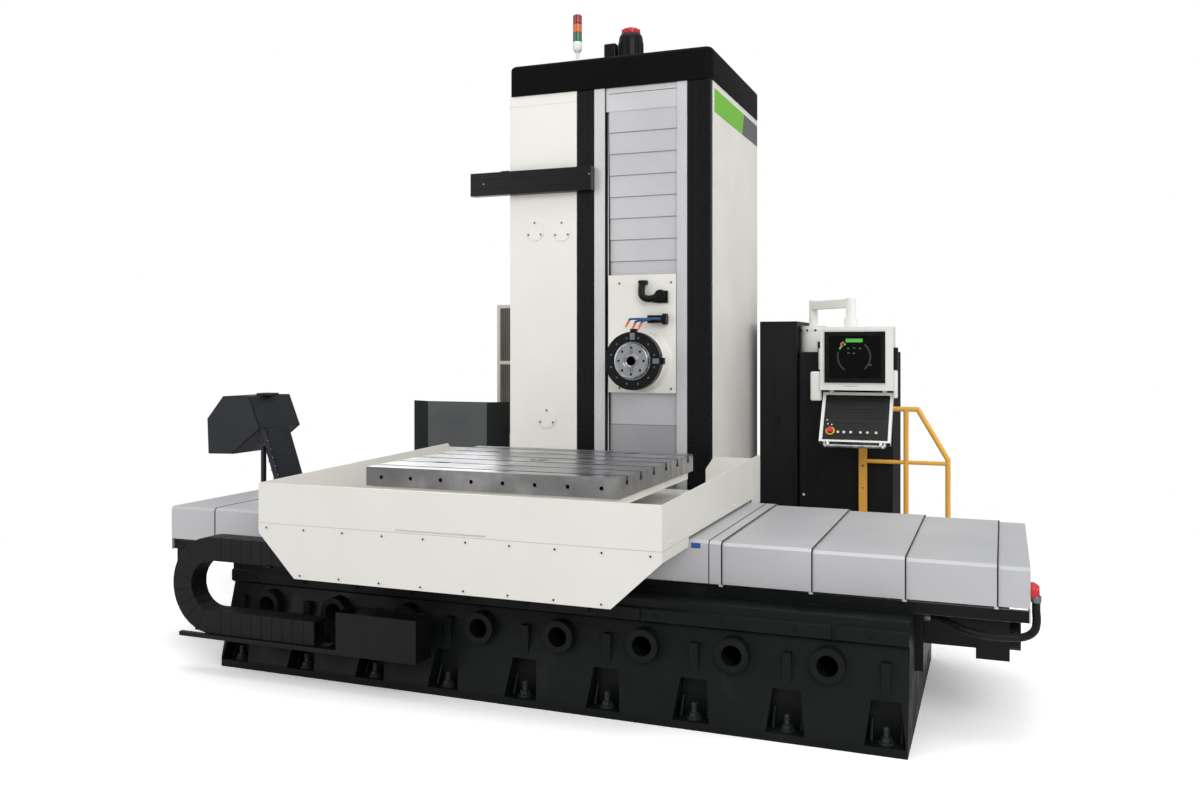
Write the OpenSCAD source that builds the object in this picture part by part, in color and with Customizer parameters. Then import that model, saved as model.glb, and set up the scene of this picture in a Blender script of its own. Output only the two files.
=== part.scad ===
// Horizontal boring mill: a moving rotary table on a front bed, and a column with its head on a rear bed.
// Millimetres, +Z up. X runs along the front bed, Y runs away from the operator, the floor is Z = 0.

/* [Front bed] */
// Half length of the front bed casting
bed_half = 2088; // [1500:1:3000]
// Front foot edge of the bed, ahead of the centre of its guideways
bed_front = 1030; // [900:1:1300]
// Rear face of the bed, behind the centre of its guideways
bed_back = 760; // [700:1:900]
// Height of the deck
bed_top = 640; // [500:1:800]
// Distance of the last rib and levelling pocket from the end of the bed
rib_end = 108; // [80:1:220]
// Radius of the cored holes in the front wall
core_r = 55; // [30:1:90]
// Thickness of the walls of the castings
cast_wall = 40; // [20:1:80]
// Distance of each linear rail from the centre
rail_y = 560; // [400:1:640]

/* [Telescopic covers] */
// Half width of the innermost cover section
cover_half = 761; // [700:1:790]
// Height of the top of the innermost cover section
cover_top = 956; // [900:1:1000]
// Step from one section to the next
cover_step = 8; // [6:1:14]
// Sheet thickness of the covers
cover_t = 3; // [2:0.5:5]
// Lower edge of the covers
cover_low = 713; // [690:1:760]
// Right end of the covers
cover_right = 2648; // [2200:1:3200]
// Left end of the covers
cover_left = -2769; // [-3300:1:-2300]

/* [Saddle and chip pan] */
// Place of the table centre along X in the rest pose
saddle_x = -355; // [-1000:1:1000]
// Half length of the saddle
saddle_half = 560; // [450:1:700]
// Half length of the chip pan
pan_half = 1260; // [1150:1:1500]
// Front face of the pan, ahead of the centre
pan_front = 1256; // [1140:1:1400]
// Rear edge of the pan's side walls
pan_rear = 1032; // [900:1:1120]
// Height of the pan's front wall
pan_top = 1207; // [1100:1:1260]
// Rise of the side walls towards the rear
pan_rise = 45; // [0:1:60]
// Sheet thickness of the pan
pan_t = 6; // [4:0.5:10]
// Half width of the opening in the rear wall
pan_gap_half = 860; // [700:1:1000]

/* [Rotary table] */
// Half length of the table along X
table_half_x = 845; // [600:1:1100]
// Half width of the table along Y
table_half_y = 750; // [600:1:1000]
// Height of the table's upper face
table_top = 1267; // [1200:1:1400]
// Thickness of the table
table_t = 120; // [80:1:200]
// Width of a T-slot's neck
slot_w = 28; // [18:1:42]
// Number of T-slots
slot_n = 6; // [3:1:6]
// Spacing of the T-slots
slot_pitch = 250; // [150:1:260]
// Radius of the centre hole
table_bore_r = 75; // [40:1:120]

/* [Rear bed and column] */
// Left face of the column
col_left = -1132; // [-1400:1:-900]
// Right face of the column
col_right = 512; // [400:1:900]
// Front plane of the column
col_front = 1150; // [1140:1:1400]
// Rear face of the column casting
col_back = 2700; // [2500:1:3000]
// Height of the foot of the column
col_foot = 642; // [560:1:800]
// Height of the lower edge of the cap
cap_low = 4002; // [3000:1:4400]
// Height of the cap
cap_h = 245; // [150:1:350]
// Left edge of the slatted shutter
slat_left = -297; // [-400:1:-200]
// Right edge of the slatted shutter
slat_right = 243; // [150:1:400]
// Height of the deck of the rear bed
rbed_top = 600; // [500:1:700]
// Rear end of the rear bed
rbed_back = 3960; // [3500:1:4600]

/* [Head and shutters] */
// Place of the spindle axis along X
spin_x = -27; // [-100:1:100]
// Height of the spindle axis in the rest pose
spin_z = 1915; // [1500:1:2600]
// Lower edge of the head plate
head_low = 1672; // [1500:1:1800]
// Upper edge of the head plate
head_high = 2565; // [2300:1:2700]
// Radius of the front housing
nose_r = 218; // [180:1:240]
// Front face of the housing
nose_front = 1000; // [960:1:1080]
// Radius of the bolted ring
ring_r = 216; // [150:1:250]
// Radius of the spindle face
face_r = 130; // [100:1:150]
// Radius of the boring spindle
quill_r = 55; // [40:1:75]
// Number of moving shutter plates above the head
up_n = 7; // [3:1:9]
// Lower edge of the first plate above the head
up_first = 2672; // [2600:1:2800]
// Spacing of the plates above the head
up_pitch = 164; // [120:1:220]
// Number of moving shutter plates below the head
down_n = 3; // [2:1:5]
// Upper edge of the fixed skirt at the foot of the column
skirt_top = 700; // [660:1:760]

/* [Surroundings] */
// Height of the platform
deck_z = 370; // [200:1:500]
// Height of the low control cabinet
cab_z = 1979; // [1700:1:2200]
// Height of the tall control cabinet
cab_tall_z = 2236; // [1900:1:2500]
// Radius of the railing tube
rail_r = 20; // [15:1:30]
// Height of the guard screen
guard_z = 1535; // [1200:1:1800]
// Height of the cooling cabinet
cool_z = 2430; // [2000:1:2700]
// Width of the chip conveyor
conv_w = 530; // [350:1:600]

/* [Hidden] */
$fn = 48;
gap = 0.5;
fit = 0.05;
seat = 0.3;
rib_side = 4;
rib_pitch = (bed_half - rib_end) / rib_side;
bar_top = 700;
pan_x0 = saddle_x - pan_half;
pan_x1 = saddle_x + pan_half;
joint_z = 970;
apron_z = 654;
side_z = 912;
floor_z = 966;
table_low = table_top - table_t;
plate_y = col_front + 10;
plate_step = 5;
plate_t = 3;
inner_y = plate_y + plate_step * (up_n + 2);
down_pitch = (head_low - skirt_top) / (down_n + 1);
up_h = 240;
down_h = 548;

// Box from its low corner to its high corner.
module bx(a, b) {
  translate(a)
    cube([b[0] - a[0], b[1] - a[1], b[2] - a[2]]);
}

// Profile in the YZ plane, given as [y, z] points, extruded along X from x0 to x1.
module yz(x0, x1) {
  translate([x0, 0, 0])
    rotate([90, 0, 90])
      linear_extrude(x1 - x0)
        children();
}

// Profile in the XZ plane, given as [x, z] points, extruded along Y from y0 to y1.
module xz(y0, y1) {
  translate([0, y1, 0])
    rotate([90, 0, 0])
      linear_extrude(y1 - y0)
        children();
}

// Cylinder along Y from y0 to y1.
module cy(x, z, r, y0, y1) {
  translate([x, y0, z])
    rotate([-90, 0, 0])
      cylinder(h = y1 - y0, r = r);
}

// Cylinder along X from x0 to x1.
module cx(y, z, r, x0, x1) {
  translate([x0, y, z])
    rotate([0, 90, 0])
      cylinder(h = x1 - x0, r = r);
}

// Cylinder along Z from z0 to z1.
module cz(x, y, r, z0, z1) {
  translate([x, y, z0])
    cylinder(h = z1 - z0, r = r);
}

/* ---------- front bed ---------- */

// Outer section of the bed: the front wall leans back and ends in two ledges under the covers.
module bed_section() {
  polygon([[-bed_front, 0], [bed_back, 0], [bed_back, bed_top], [-920, bed_top], [-920, 598],
    [-936, 589], [-936, 524], [-905, 506], [-bed_front, 60]]);
}

// Cored hole with a raised rim in the leaning front wall.
module core_rim(x, z) {
  cy(x, z, core_r + 34, -990, -880);
}

// Pocket for a levelling screw, open to the front and above the foot.
module foot_pocket(x) {
  xz(-bed_front - 10, -bed_front + 125)
    polygon([[x - 100, 42], [x + 100, 42], [x + 72, 255], [x - 72, 255]]);
}

module front_bed() {
  color("#2b2c2b")
    difference() {
      union() {
        difference() {
          yz(-bed_half, bed_half)
            bed_section();
          // hollow inside the casting
          yz(-bed_half + cast_wall, bed_half - cast_wall)
            polygon([[-bed_front + 190, 60], [bed_back - cast_wall, 60], [bed_back - cast_wall, 420],
              [-840, 420]]);
          // channel for the screw
          bx([-bed_half - 1, -150, 470], [bed_half + 1, 150, bed_top + 1]);
          // chip gutters beside the channel
          bx([-bed_half + 60, 230, bed_top - 50], [bed_half - 60, 430, bed_top + 1]);
          bx([-bed_half + 60, -430, bed_top - 50], [bed_half - 60, -230, bed_top + 1]);
        }
        for (i = [-rib_side : rib_side - 1])
          core_rim((i + 0.5) * rib_pitch - 40, 400);
        for (i = [-rib_side : rib_side])
          bx([i * rib_pitch - 25, -970, 275], [i * rib_pitch + 21, -880, 440]);
      }
      for (i = [-rib_side : rib_side - 1])
        cy((i + 0.5) * rib_pitch - 40, 400, core_r, -1100, -830);
      for (i = [-rib_side : rib_side]) {
        foot_pocket(i * rib_pitch);
        cz(i * rib_pitch, -bed_front + 66, 17.3, -1, 60);
      }
      // upright grooves above two of the cored holes
      bx([686 - 12, -1000, 500], [686 + 12, -925, 600]);
      bx([1716 - 12, -1000, 500], [1716 + 12, -925, 600]);
    }
}

module level_bolt(x, y) {
  cz(x, y, 17, 0, 118);
  cz(x, y, 42, 42 + seat, 52);
  translate([x, y, 51])
    cylinder(h = 24, r = 31, $fn = 6);
}

module levelling_bolts() {
  color("#8a8b8d")
    for (i = [-rib_side : rib_side])
      level_bolt(i * rib_pitch, -bed_front + 66);
}

module x_rails() {
  color("#b9bbbd")
    for (s = [-1, 1])
      bx([-bed_half + 20, s * rail_y - 27, bed_top], [bed_half - 20, s * rail_y + 27, bed_top + 42]);
}

module x_ballscrew() {
  color("#c4c6c8")
    union() {
      cx(0, 560, 31, -bed_half + 60, bed_half - 60);
      cx(0, 560, 24, -bed_half + 10, bed_half + 120);
    }
}

// Screw bearings, the bracket and the servo motor at the right end.
module x_drive() {
  color("#141516")
    difference() {
      union() {
        bx([-bed_half + 8, -100, 470], [-bed_half + 58, 100, 640]);
        bx([bed_half - 58, -100, 470], [bed_half - 8, 100, 640]);
        bx([bed_half, -560, 300], [bed_half + 40, 220, 634]);
        bx([bed_half + 40, -480, 430], [bed_half + 300, 130, 628]);
        bx([bed_half + 299, -500, 380], [bed_half + 465, -220, 600]);
        cx(-360, 500, 92, bed_half + 455, bed_half + 520);
      }
      cx(0, 560, 24 + fit, -bed_half, bed_half + 130);
    }
}

/* ---------- cable carrier ---------- */

tray_z = 249.7;
tray_back = -bed_front + (224 - 60) * (bed_front - 905) / (506 - 60) - seat;
module cable_tray() {
  color("#17181a")
    union() {
      difference() {
        bx([-1099, -1216, 224], [-560, -1046, 471]);
        bx([-1100, -1207, tray_z], [-569, -1055, 472]);
      }
      bx([-1099, -1216, 420], [-1090, -1046, 471]);
      bx([-2257, -1216, 224], [-1099, -1184, tray_z]);
      bx([-2257, -1078, 224], [-1099, -1046, tray_z]);
      // brackets from the leaning wall of the bed
      for (x = [-1870, -1340, -1200, -700])
        bx([x, -1200, 224], [x + 40, tray_back, 246]);
    }
}

// Carrier: a closed duct along a C, with a joint cut around it at each link.
carrier_r = 225;
carrier_z = 547;
carrier_x = -2022;
carrier_half = 72;
carrier_wall = 16;
carrier_pitch = 76;
carrier_bend_n = 9;
carrier_low_n = 10;
carrier_high_n = 15;
link_cut = 3;
module carrier_joint() {
  difference() {
    bx([-link_cut / 2, -1199, -carrier_half - 1], [link_cut / 2, -1063, carrier_half + 1]);
    bx([-link_cut, -1198 + link_cut, link_cut - carrier_half], [link_cut, -1064 - link_cut, carrier_half - link_cut]);
  }
}
module carrier_run(n) {
  difference() {
    bx([0, -1198, -carrier_half], [n * carrier_pitch, -1064, carrier_half]);
    bx([-1, -1184, carrier_wall - carrier_half], [n * carrier_pitch + 1, -1078, carrier_half - carrier_wall]);
    for (i = [1 : n - 1])
      translate([i * carrier_pitch, 0, 0])
        carrier_joint();
  }
}
module carrier_bend() {
  difference() {
    cy(0, 0, carrier_r + carrier_half, -1198, -1064);
    cy(0, 0, carrier_r - carrier_half, -1199, -1063);
    difference() {
      cy(0, 0, carrier_r + carrier_half - carrier_wall, -1184, -1078);
      cy(0, 0, carrier_r - carrier_half + carrier_wall, -1185, -1077);
    }
    bx([0, -1200, -400], [400, -1060, 400]);
    for (i = [1 : carrier_bend_n - 1])
      rotate([0, -180 * i / carrier_bend_n, 0])
        translate([0, 0, carrier_r])
          carrier_joint();
  }
}
module cable_carrier() {
  color("#1c1d1f")
    translate([carrier_x, 0, carrier_z])
      union() {
        carrier_bend();
        translate([0, 0, -carrier_r])
          carrier_run(carrier_low_n);
        translate([0, 0, carrier_r])
          carrier_run(carrier_high_n);
      }
}

/* ---------- coolant hose ---------- */

// Hose from the fitting at the end of the covers down and back to the bed.
hose_pts = [[2674, -690, 775.7], [2674, -690, 700], [2676, -695, 650], [2664, -701, 600], [2615, -707, 568],
  [2530, -708, 558], [2430, -692, 556], [2330, -640, 564], [2250, -575, 578], [2180, -530, 585],
  [2128.4, -530, 585]];
hose_sides = 10;
function hose_dir(i) = hose_pts[min(i + 1, len(hose_pts) - 1)] - hose_pts[max(i - 1, 0)];
function unit(v) = v / norm(v);
function side_of(d) = unit(cross(d, [0, 1, 0.2]));
function ring_pt(i, k, r) = let(d = unit(hose_dir(i)), a = side_of(d), b = cross(d, a), t = k * 360 / hose_sides)
  hose_pts[i] + r * (cos(t) * a + sin(t) * b);
module hose_tube(r) {
  n = len(hose_pts);
  s = hose_sides;
  pts = [for (i = [0 : n - 1]) for (k = [0 : s - 1]) ring_pt(i, k, r)];
  sides = [for (i = [0 : n - 2]) for (k = [0 : s - 1])
    [i * s + k, i * s + (k + 1) % s, (i + 1) * s + (k + 1) % s, (i + 1) * s + k]];
  ends = [[for (k = [s - 1 : -1 : 0]) k], [for (k = [0 : s - 1]) (n - 1) * s + k]];
  polyhedron(points = pts, faces = concat(sides, ends), convexity = 6);
}
module coolant_hose() {
  color("#1a1a1b")
    hose_tube(21);
}

/* ---------- telescopic covers ---------- */

// One cover section: an upside-down trough of sheet with its rear and front walls.
module cover(k, x0, x1) {
  w = cover_half - k * cover_step;
  t = cover_top - k * cover_step;
  yz(x0, x1)
    polygon([[-w, cover_low], [-w, t - 16], [-w + 16, t], [w - 16, t], [w, t - 16], [w, cover_low],
      [w - cover_t, cover_low], [w - cover_t, t - 17], [w - 17, t - cover_t], [-w + 17, t - cover_t],
      [-w + cover_t, t - 17], [-w + cover_t, cover_low]]);
}

// Shoes under the outer end of a section, riding on the guide bars; s is the side the end is on.
module shoes(k, x, s) {
  w = cover_half - k * cover_step;
  for (m = [-1, 1]) {
    bx([min(x, x - s * 20), min(m * 696, m * w), bar_top + seat], [max(x, x - s * 20), max(m * 696, m * w), cover_low - 1]);
    bx([min(x, x - s * 20), min(m * (w - cover_t), m * w), cover_low - 2],
      [max(x, x - s * 20), max(m * (w - cover_t), m * w), cover_low + 1]);
  }
}

// End plate that closes a section.
module end_plate(k, x) {
  w = cover_half - k * cover_step;
  t = cover_top - k * cover_step;
  yz(x, x + 6)
    polygon([[-w, 640], [-w, t - 16], [-w + 16, t], [w - 16, t], [w, t - 16], [w, 640]]);
}

module covers_inner() {
  color("#cfd0d1")
    union() {
      cover(1, saddle_x + saddle_half, 1089);
      shoes(1, 1089, 1);
      cover(0, -1600, saddle_x - saddle_half);
      shoes(0, -1600, -1);
    }
}
module cover_r2() {
  color("#cfd0d1")
    union() {
      cover(2, 1578 - 740, 1578);
      shoes(2, 1578, 1);
    }
}
module cover_r3() {
  color("#c8c9ca")
    union() {
      cover(3, 2056 - 735, 2056);
      shoes(3, 2056, 1);
    }
}
module cover_r4() {
  color("#c2c3c4")
    union() {
      cover(4, 2499 - 700, 2499);
      shoes(4, 2499, 1);
    }
}
// Outer end of the second left section, beyond the first one's shoes over the whole travel.
left2_x = -1736;
module cover_l2() {
  color("#cfd0d1")
    union() {
      cover(1, left2_x, left2_x + 580);
      shoes(1, left2_x, -1);
    }
}
module cover_l3() {
  color("#c8c9ca")
    union() {
      cover(2, -2396, -2396 + 1190);
      shoes(2, -2396, -1);
    }
}

// Fixed end sections with their end plates, and the two bars that guide all the sections.
module covers_end() {
  color("#bcbdbe")
    union() {
      cover(5, 2390, cover_right);
      cover(3, cover_left, -1580);
      end_plate(5, cover_right - 6);
      end_plate(3, cover_left);
      for (s = [-1, 1])
        bx([cover_left + 1, s * 704 - 11, bed_top], [cover_right - 1, s * 704 + 11, bar_top]);
      bx([cover_left + 30, -715, 560], [cover_left + 110, -665, 648]);
      cx(-690, 800, 24, cover_right - 1, cover_right + 42);
    }
}

/* ---------- saddle, pan and table ---------- */

module saddle() {
  color("#3a3c3c")
    difference() {
      union() {
        bx([saddle_x - saddle_half, -700, 740], [saddle_x + saddle_half, 700, 930]);
        cz(saddle_x, 0, 540, 929, table_low - gap);
        // carriages on the rails
        for (i = [-1, 1])
          for (s = [-1, 1])
            difference() {
              bx([saddle_x + i * 400 - 120, s * rail_y - 75, bed_top + 12],
                [saddle_x + i * 400 + 120, s * rail_y + 75, 741]);
              bx([saddle_x + i * 400 - 121, s * rail_y - 27 - gap, bed_top],
                [saddle_x + i * 400 + 121, s * rail_y + 27 + gap, bed_top + 42 + gap]);
            }
        // nut bracket
        bx([saddle_x - 130, -110, 500], [saddle_x + 130, 110, 741]);
      }
      cx(0, 560, 31 + fit, saddle_x - 200, saddle_x + 200);
      cz(saddle_x, 0, table_bore_r + 40, 735, 1200);
      for (i = [-1, 1])
        bx([saddle_x + i * 330 - 150, -480, 739], [saddle_x + i * 330 + 150, 480, 880]);
    }
}

// Front wall with a hanging apron whose lower corners are cut off.
module pan_apron() {
  xz(-pan_front, -pan_front + pan_t)
    polygon([[pan_x0, joint_z], [pan_x0, side_z], [pan_x0 + 256, apron_z], [pan_x1 - 280, apron_z],
      [pan_x1, side_z], [pan_x1, joint_z]]);
  bx([pan_x0, -pan_front, joint_z - 1], [pan_x1, -pan_front + pan_t, pan_top]);
}

// Side wall outline: its top rises to the rear, its lower edge steps up over the covers.
module pan_side(x) {
  yz(x, x + pan_t)
    polygon([[-pan_front, side_z], [-pan_front, pan_top], [pan_rear - 30, pan_top + pan_rise],
      [pan_rear, pan_top + pan_rise - 30], [pan_rear, side_z], [cover_half + 16, side_z],
      [cover_half + 16, floor_z], [-cover_half - 16, floor_z], [-cover_half - 16, side_z]]);
}

module chip_pan() {
  color("#e4e2dd")
    difference() {
      union() {
        pan_apron();
        pan_side(pan_x0);
        pan_side(pan_x1 - pan_t);
        // rear walls beside the opening
        xz(pan_rear - pan_t, pan_rear)
          polygon([[saddle_x + pan_gap_half, side_z], [pan_x1, side_z], [pan_x1, pan_top + pan_rise - 30],
            [saddle_x + pan_gap_half + 60, pan_top + pan_rise - 30], [saddle_x + pan_gap_half, 1130]]);
        xz(pan_rear - pan_t, pan_rear)
          polygon([[saddle_x - pan_gap_half, side_z], [pan_x0, side_z], [pan_x0, pan_top + pan_rise - 30],
            [saddle_x - pan_gap_half - 60, pan_top + pan_rise - 30], [saddle_x - pan_gap_half, 1130]]);
        // floor
        bx([pan_x0, -pan_front, floor_z], [pan_x1, pan_rear, floor_z + pan_t]);
        // hanger under the upper run of the cable carrier
        bx([pan_x0 + 10, -1057, carrier_z + carrier_r - 80], [pan_x0 + 50, -1051, floor_z + 1]);
        bx([pan_x0 + 10, -1210, carrier_z + carrier_r - 80], [pan_x0 + 50, -1051, carrier_z + carrier_r - 72 - seat]);
        // stiffening flange along the top of the front wall
        bx([pan_x0, -pan_front, pan_top - pan_t], [pan_x1, -pan_front + 22, pan_top]);
      }
      cz(saddle_x, 0, 540 + seat, floor_z - 20, floor_z + 20);
      // slot over the access flap
      bx([saddle_x - 315, -pan_front - 1, joint_z + 8], [saddle_x + 252, -pan_front + pan_t + 1, joint_z + 18]);
    }
}

module pan_screws() {
  color("#7d7f82")
    union() {
      for (i = [0 : 9])
        cy(pan_x0 + 60 + i * 266.6, joint_z - 26, 11, -pan_front - 5, -pan_front);
      for (i = [0 : 7])
        cy(pan_x0 + 300 + i * 270, apron_z + 22, 11, -pan_front - 5, -pan_front);
      for (i = [0 : 6])
        cx(-1100 + i * 340, joint_z + 26, 11, pan_x1, pan_x1 + 5);
    }
}

// Square sheet skirt that turns with the table and throws coolant clear of the bearing.
module table_skirt() {
  color("#e6e4e0")
    difference() {
      bx([saddle_x - 815, -722, 1092], [saddle_x + 815, 722, table_low]);
      bx([saddle_x - 812, -719, 1091], [saddle_x + 812, 719, table_low - 3]);
      cz(saddle_x, 0, 545, 1090, table_low + 1);
    }
}

// T-slot along X: neck and wider foot.
module t_slot(y) {
  x0 = saddle_x - table_half_x - 1;
  x1 = saddle_x + table_half_x + 1;
  bx([x0, y - slot_w / 2, table_top - 50], [x1, y + slot_w / 2, table_top + 1]);
  bx([x0, y - slot_w * 0.9, table_top - 50], [x1, y + slot_w * 0.9, table_top - 28]);
}

module rotary_table() {
  color("#9a9a9c")
    difference() {
      union() {
        bx([saddle_x - table_half_x, -table_half_y, table_low], [saddle_x + table_half_x, table_half_y, table_top]);
        cz(saddle_x, 0, table_bore_r + 35, 960, table_low + 1);
      }
      for (i = [0 : slot_n - 1])
        t_slot((i - (slot_n - 1) / 2) * slot_pitch);
      cz(saddle_x, 0, table_bore_r, table_top - 60, table_top + 1);
      // eight holes in the front face
      for (i = [0 : 7])
        cy(saddle_x - 735 + i * 210, table_top - 62, 11, -table_half_y - 1, -table_half_y + 60);
      // oblong pockets where T-bolts are let into the slots
      for (p = [[-520, -1.5], [458, -0.5], [445, 2.5], [-520, 1.5]])
        hull()
          for (s = [-1, 1])
            cz(saddle_x + p[0] + s * 38, p[1] * slot_pitch, 30, table_top - 50, table_top + 1);
    }
}

/* ---------- rear bed and column ---------- */

module rear_bed() {
  color("#2b2c2b")
    difference() {
      union() {
        bx([-900, bed_back, 0], [300, 1221, 250]);
        bx([-1080, 1220, 0], [460, rbed_back, rbed_top]);
      }
      // channel for the lower shutters
      bx([slat_left - 25, 1219, 260], [slat_right + 25, rbed_back - 400, rbed_top + 1]);
      // groove for the screw
      bx([-580, 1250, 440], [-400, rbed_back - 60, rbed_top + 1]);
      // hollow underside of the casting
      bx([-1040, 1260, -1], [-620, rbed_back - 40, 400]);
      bx([-360, 1260, -1], [260, rbed_back - 40, 200]);
      bx([290, 1260, -1], [420, rbed_back - 40, 400]);
    }
}

module y_rails() {
  color("#b9bbbd")
    union() {
      bx([-930, 1240, rbed_top], [-870, rbed_back - 20, rbed_top + 30]);
      bx([330, 1240, rbed_top], [390, rbed_back - 20, rbed_top + 30]);
    }
}

module y_ballscrew() {
  color("#c4c6c8")
    union() {
      cy(-490, 520, 28, 1300, rbed_back - 80);
      cy(-490, 520, 22, 1250, rbed_back - 60);
    }
}

module column() {
  color("#dedcd7")
    difference() {
      union() {
        bx([col_left + 6, inner_y - 3, col_foot], [col_right, col_back, cap_low]);
        // rear service box
        bx([col_left + 140, col_back - 1, col_foot + 60], [col_right - 160, col_back + 80, cap_low - 500]);
        // nut bracket in the groove of the rear bed
        bx([-570, 1900, 450], [-410, 2060, col_foot + 1]);
        // carriages
        for (y = [1330, 2250])
          for (x = [-900, 360])
            bx([x - 65, y, rbed_top + 12], [x + 65, y + 240, col_foot + 1]);
      }
      cy(-490, 520, 28 + fit, 1800, 2200);
      for (y = [1330, 2250])
        for (x = [-900, 360])
          bx([x - 30 - gap, y - 1, rbed_top], [x + 30 + gap, y + 241, rbed_top + 30 + gap]);
      // channel for the head
      bx([slat_left - 15, inner_y - 4, col_foot - 1], [slat_right + 15, 2200, cap_low + 1]);
      // hollow towers
      bx([col_left + 46, inner_y + 30, col_foot + 60], [-620, col_back - 40, cap_low - 40]);
      bx([-580, inner_y + 30, col_foot + 60], [slat_left - 60, col_back - 40, cap_low - 40]);
      bx([slat_right + 60, inner_y + 30, col_foot + 60], [col_right - 40, col_back - 40, cap_low - 40]);
    }
}

// Cap with rounded upright corners, hollow below so the shutter plates rise behind its front.
module column_cap() {
  color("#101011")
    difference() {
      translate([0, 0, cap_low])
        linear_extrude(cap_h)
          hull()
            for (x = [col_left - 8 + 60, col_right + 8 - 60])
              for (y = [col_front - 10 + 60, col_back + 20 - 60])
                translate([x, y])
                  circle(r = 60);
      bx([slat_left - 20, col_front + 4, cap_low - 1], [slat_right + 20, inner_y + 30, cap_low + cap_h - 12]);
      bx([col_left + 34, col_front + 34, cap_low + 12], [col_right - 34, col_back - 30, cap_low + cap_h - 12]);
    }
}

module column_panel() {
  color("#e4e2dd")
    difference() {
      bx([col_left, col_front, col_foot + 20], [-560, inner_y - 3, cap_low]);
      bx([col_left + 4, col_front + 4, col_foot + 10], [-564, inner_y, cap_low - 4]);
      bx([col_left - 1, col_front - 1, 3919], [-559, col_front + 2, 3923]);
    }
}

module column_trim() {
  color("#0f0f10")
    union() {
      bx([-558, col_front - 2, col_foot + 20], [-415, inner_y - 3, cap_low]);
      bx([330, col_front - 2, col_foot + 20], [col_right, inner_y - 3, cap_low]);
    }
}

// Bright strips beside the slats, and the skirt that joins them at the foot.
module way_strips() {
  color("#b4b6b8")
    union() {
      bx([-413, col_front, col_foot + 20], [-325, inner_y - 3, cap_low]);
      bx([slat_right + 5, col_front, col_foot + 20], [328, inner_y - 3, cap_low]);
      bx([-326, col_front + 6, col_foot + 20], [slat_right + 6, plate_y + plate_t, skirt_top]);
      bx([-326, plate_y, up_first + up_n * up_pitch], [slat_right + 6, plate_y + plate_t, cap_low]);
      // lips that wipe the plates behind them
      bx([slat_left, plate_y + 1, up_first + up_n * up_pitch],
        [slat_right, plate_y + plate_step - seat, up_first + up_n * up_pitch + 10]);
      bx([slat_left, plate_y + 1, skirt_top - 10],
        [slat_right, plate_y + plate_step * (up_n + 1 - down_n) - seat, skirt_top]);
    }
}

module side_beam() {
  color("#121314")
    difference() {
      bx([-1449, col_front - 74, 3221], [-413, col_front - 2, 3403]);
      bx([-1450, col_front - 62, 3233], [-430, col_front - 14, 3391]);
    }
}

module access_plates() {
  color("#d9d7d2")
    for (p = [[-915, 2933], [-684, 2924], [-812, 1463]]) {
      cy(p[0], p[1], 78, col_front - 6, col_front);
      for (a = [90, 210, 330])
        cy(p[0] + 62 * cos(a), p[1] + 62 * sin(a), 7, col_front - 10, col_front - 5);
    }
}

stack_x = -615;
stack_y = 1300;
module stack_light() {
  color("#7b2b22")
    union() {
      cz(stack_x, stack_y, 48, cap_low + cap_h, cap_low + cap_h + 14);
      cz(stack_x, stack_y, 14, cap_low + cap_h, cap_low + cap_h + 110);
      cz(stack_x, stack_y, 36, cap_low + cap_h + 109, cap_low + cap_h + 400);
    }
}

motor_x = -291;
motor_y = 1650;
module head_motor() {
  color("#161718")
    difference() {
      union() {
        cz(motor_x, motor_y, 112, cap_low + cap_h, cap_low + cap_h + 40);
        translate([motor_x, motor_y, cap_low + cap_h + 39])
          cylinder(h = 120, r1 = 96, r2 = 82);
        cz(motor_x, motor_y, 82, cap_low + cap_h + 158, cap_low + cap_h + 300);
        cz(motor_x, motor_y, 60, cap_low + cap_h + 299, cap_low + cap_h + 355);
        bx([-507, motor_y - 60, cap_low + cap_h], [-402, motor_y + 60, cap_low + cap_h + 244]);
      }
      for (i = [0 : 5])
        difference() {
          cz(motor_x, motor_y, 100, cap_low + cap_h + 170 + i * 20, cap_low + cap_h + 178 + i * 20);
          cz(motor_x, motor_y, 76, cap_low + cap_h + 165 + i * 20, cap_low + cap_h + 183 + i * 20);
        }
    }
}

screw_y = 2080;
module z_ballscrew() {
  color("#c4c6c8")
    union() {
      cz(spin_x, screw_y, 25, col_foot + 40, cap_low);
      cz(spin_x, screw_y, 38, cap_low - 60, cap_low - 10);
    }
}

/* ---------- head ---------- */

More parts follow.
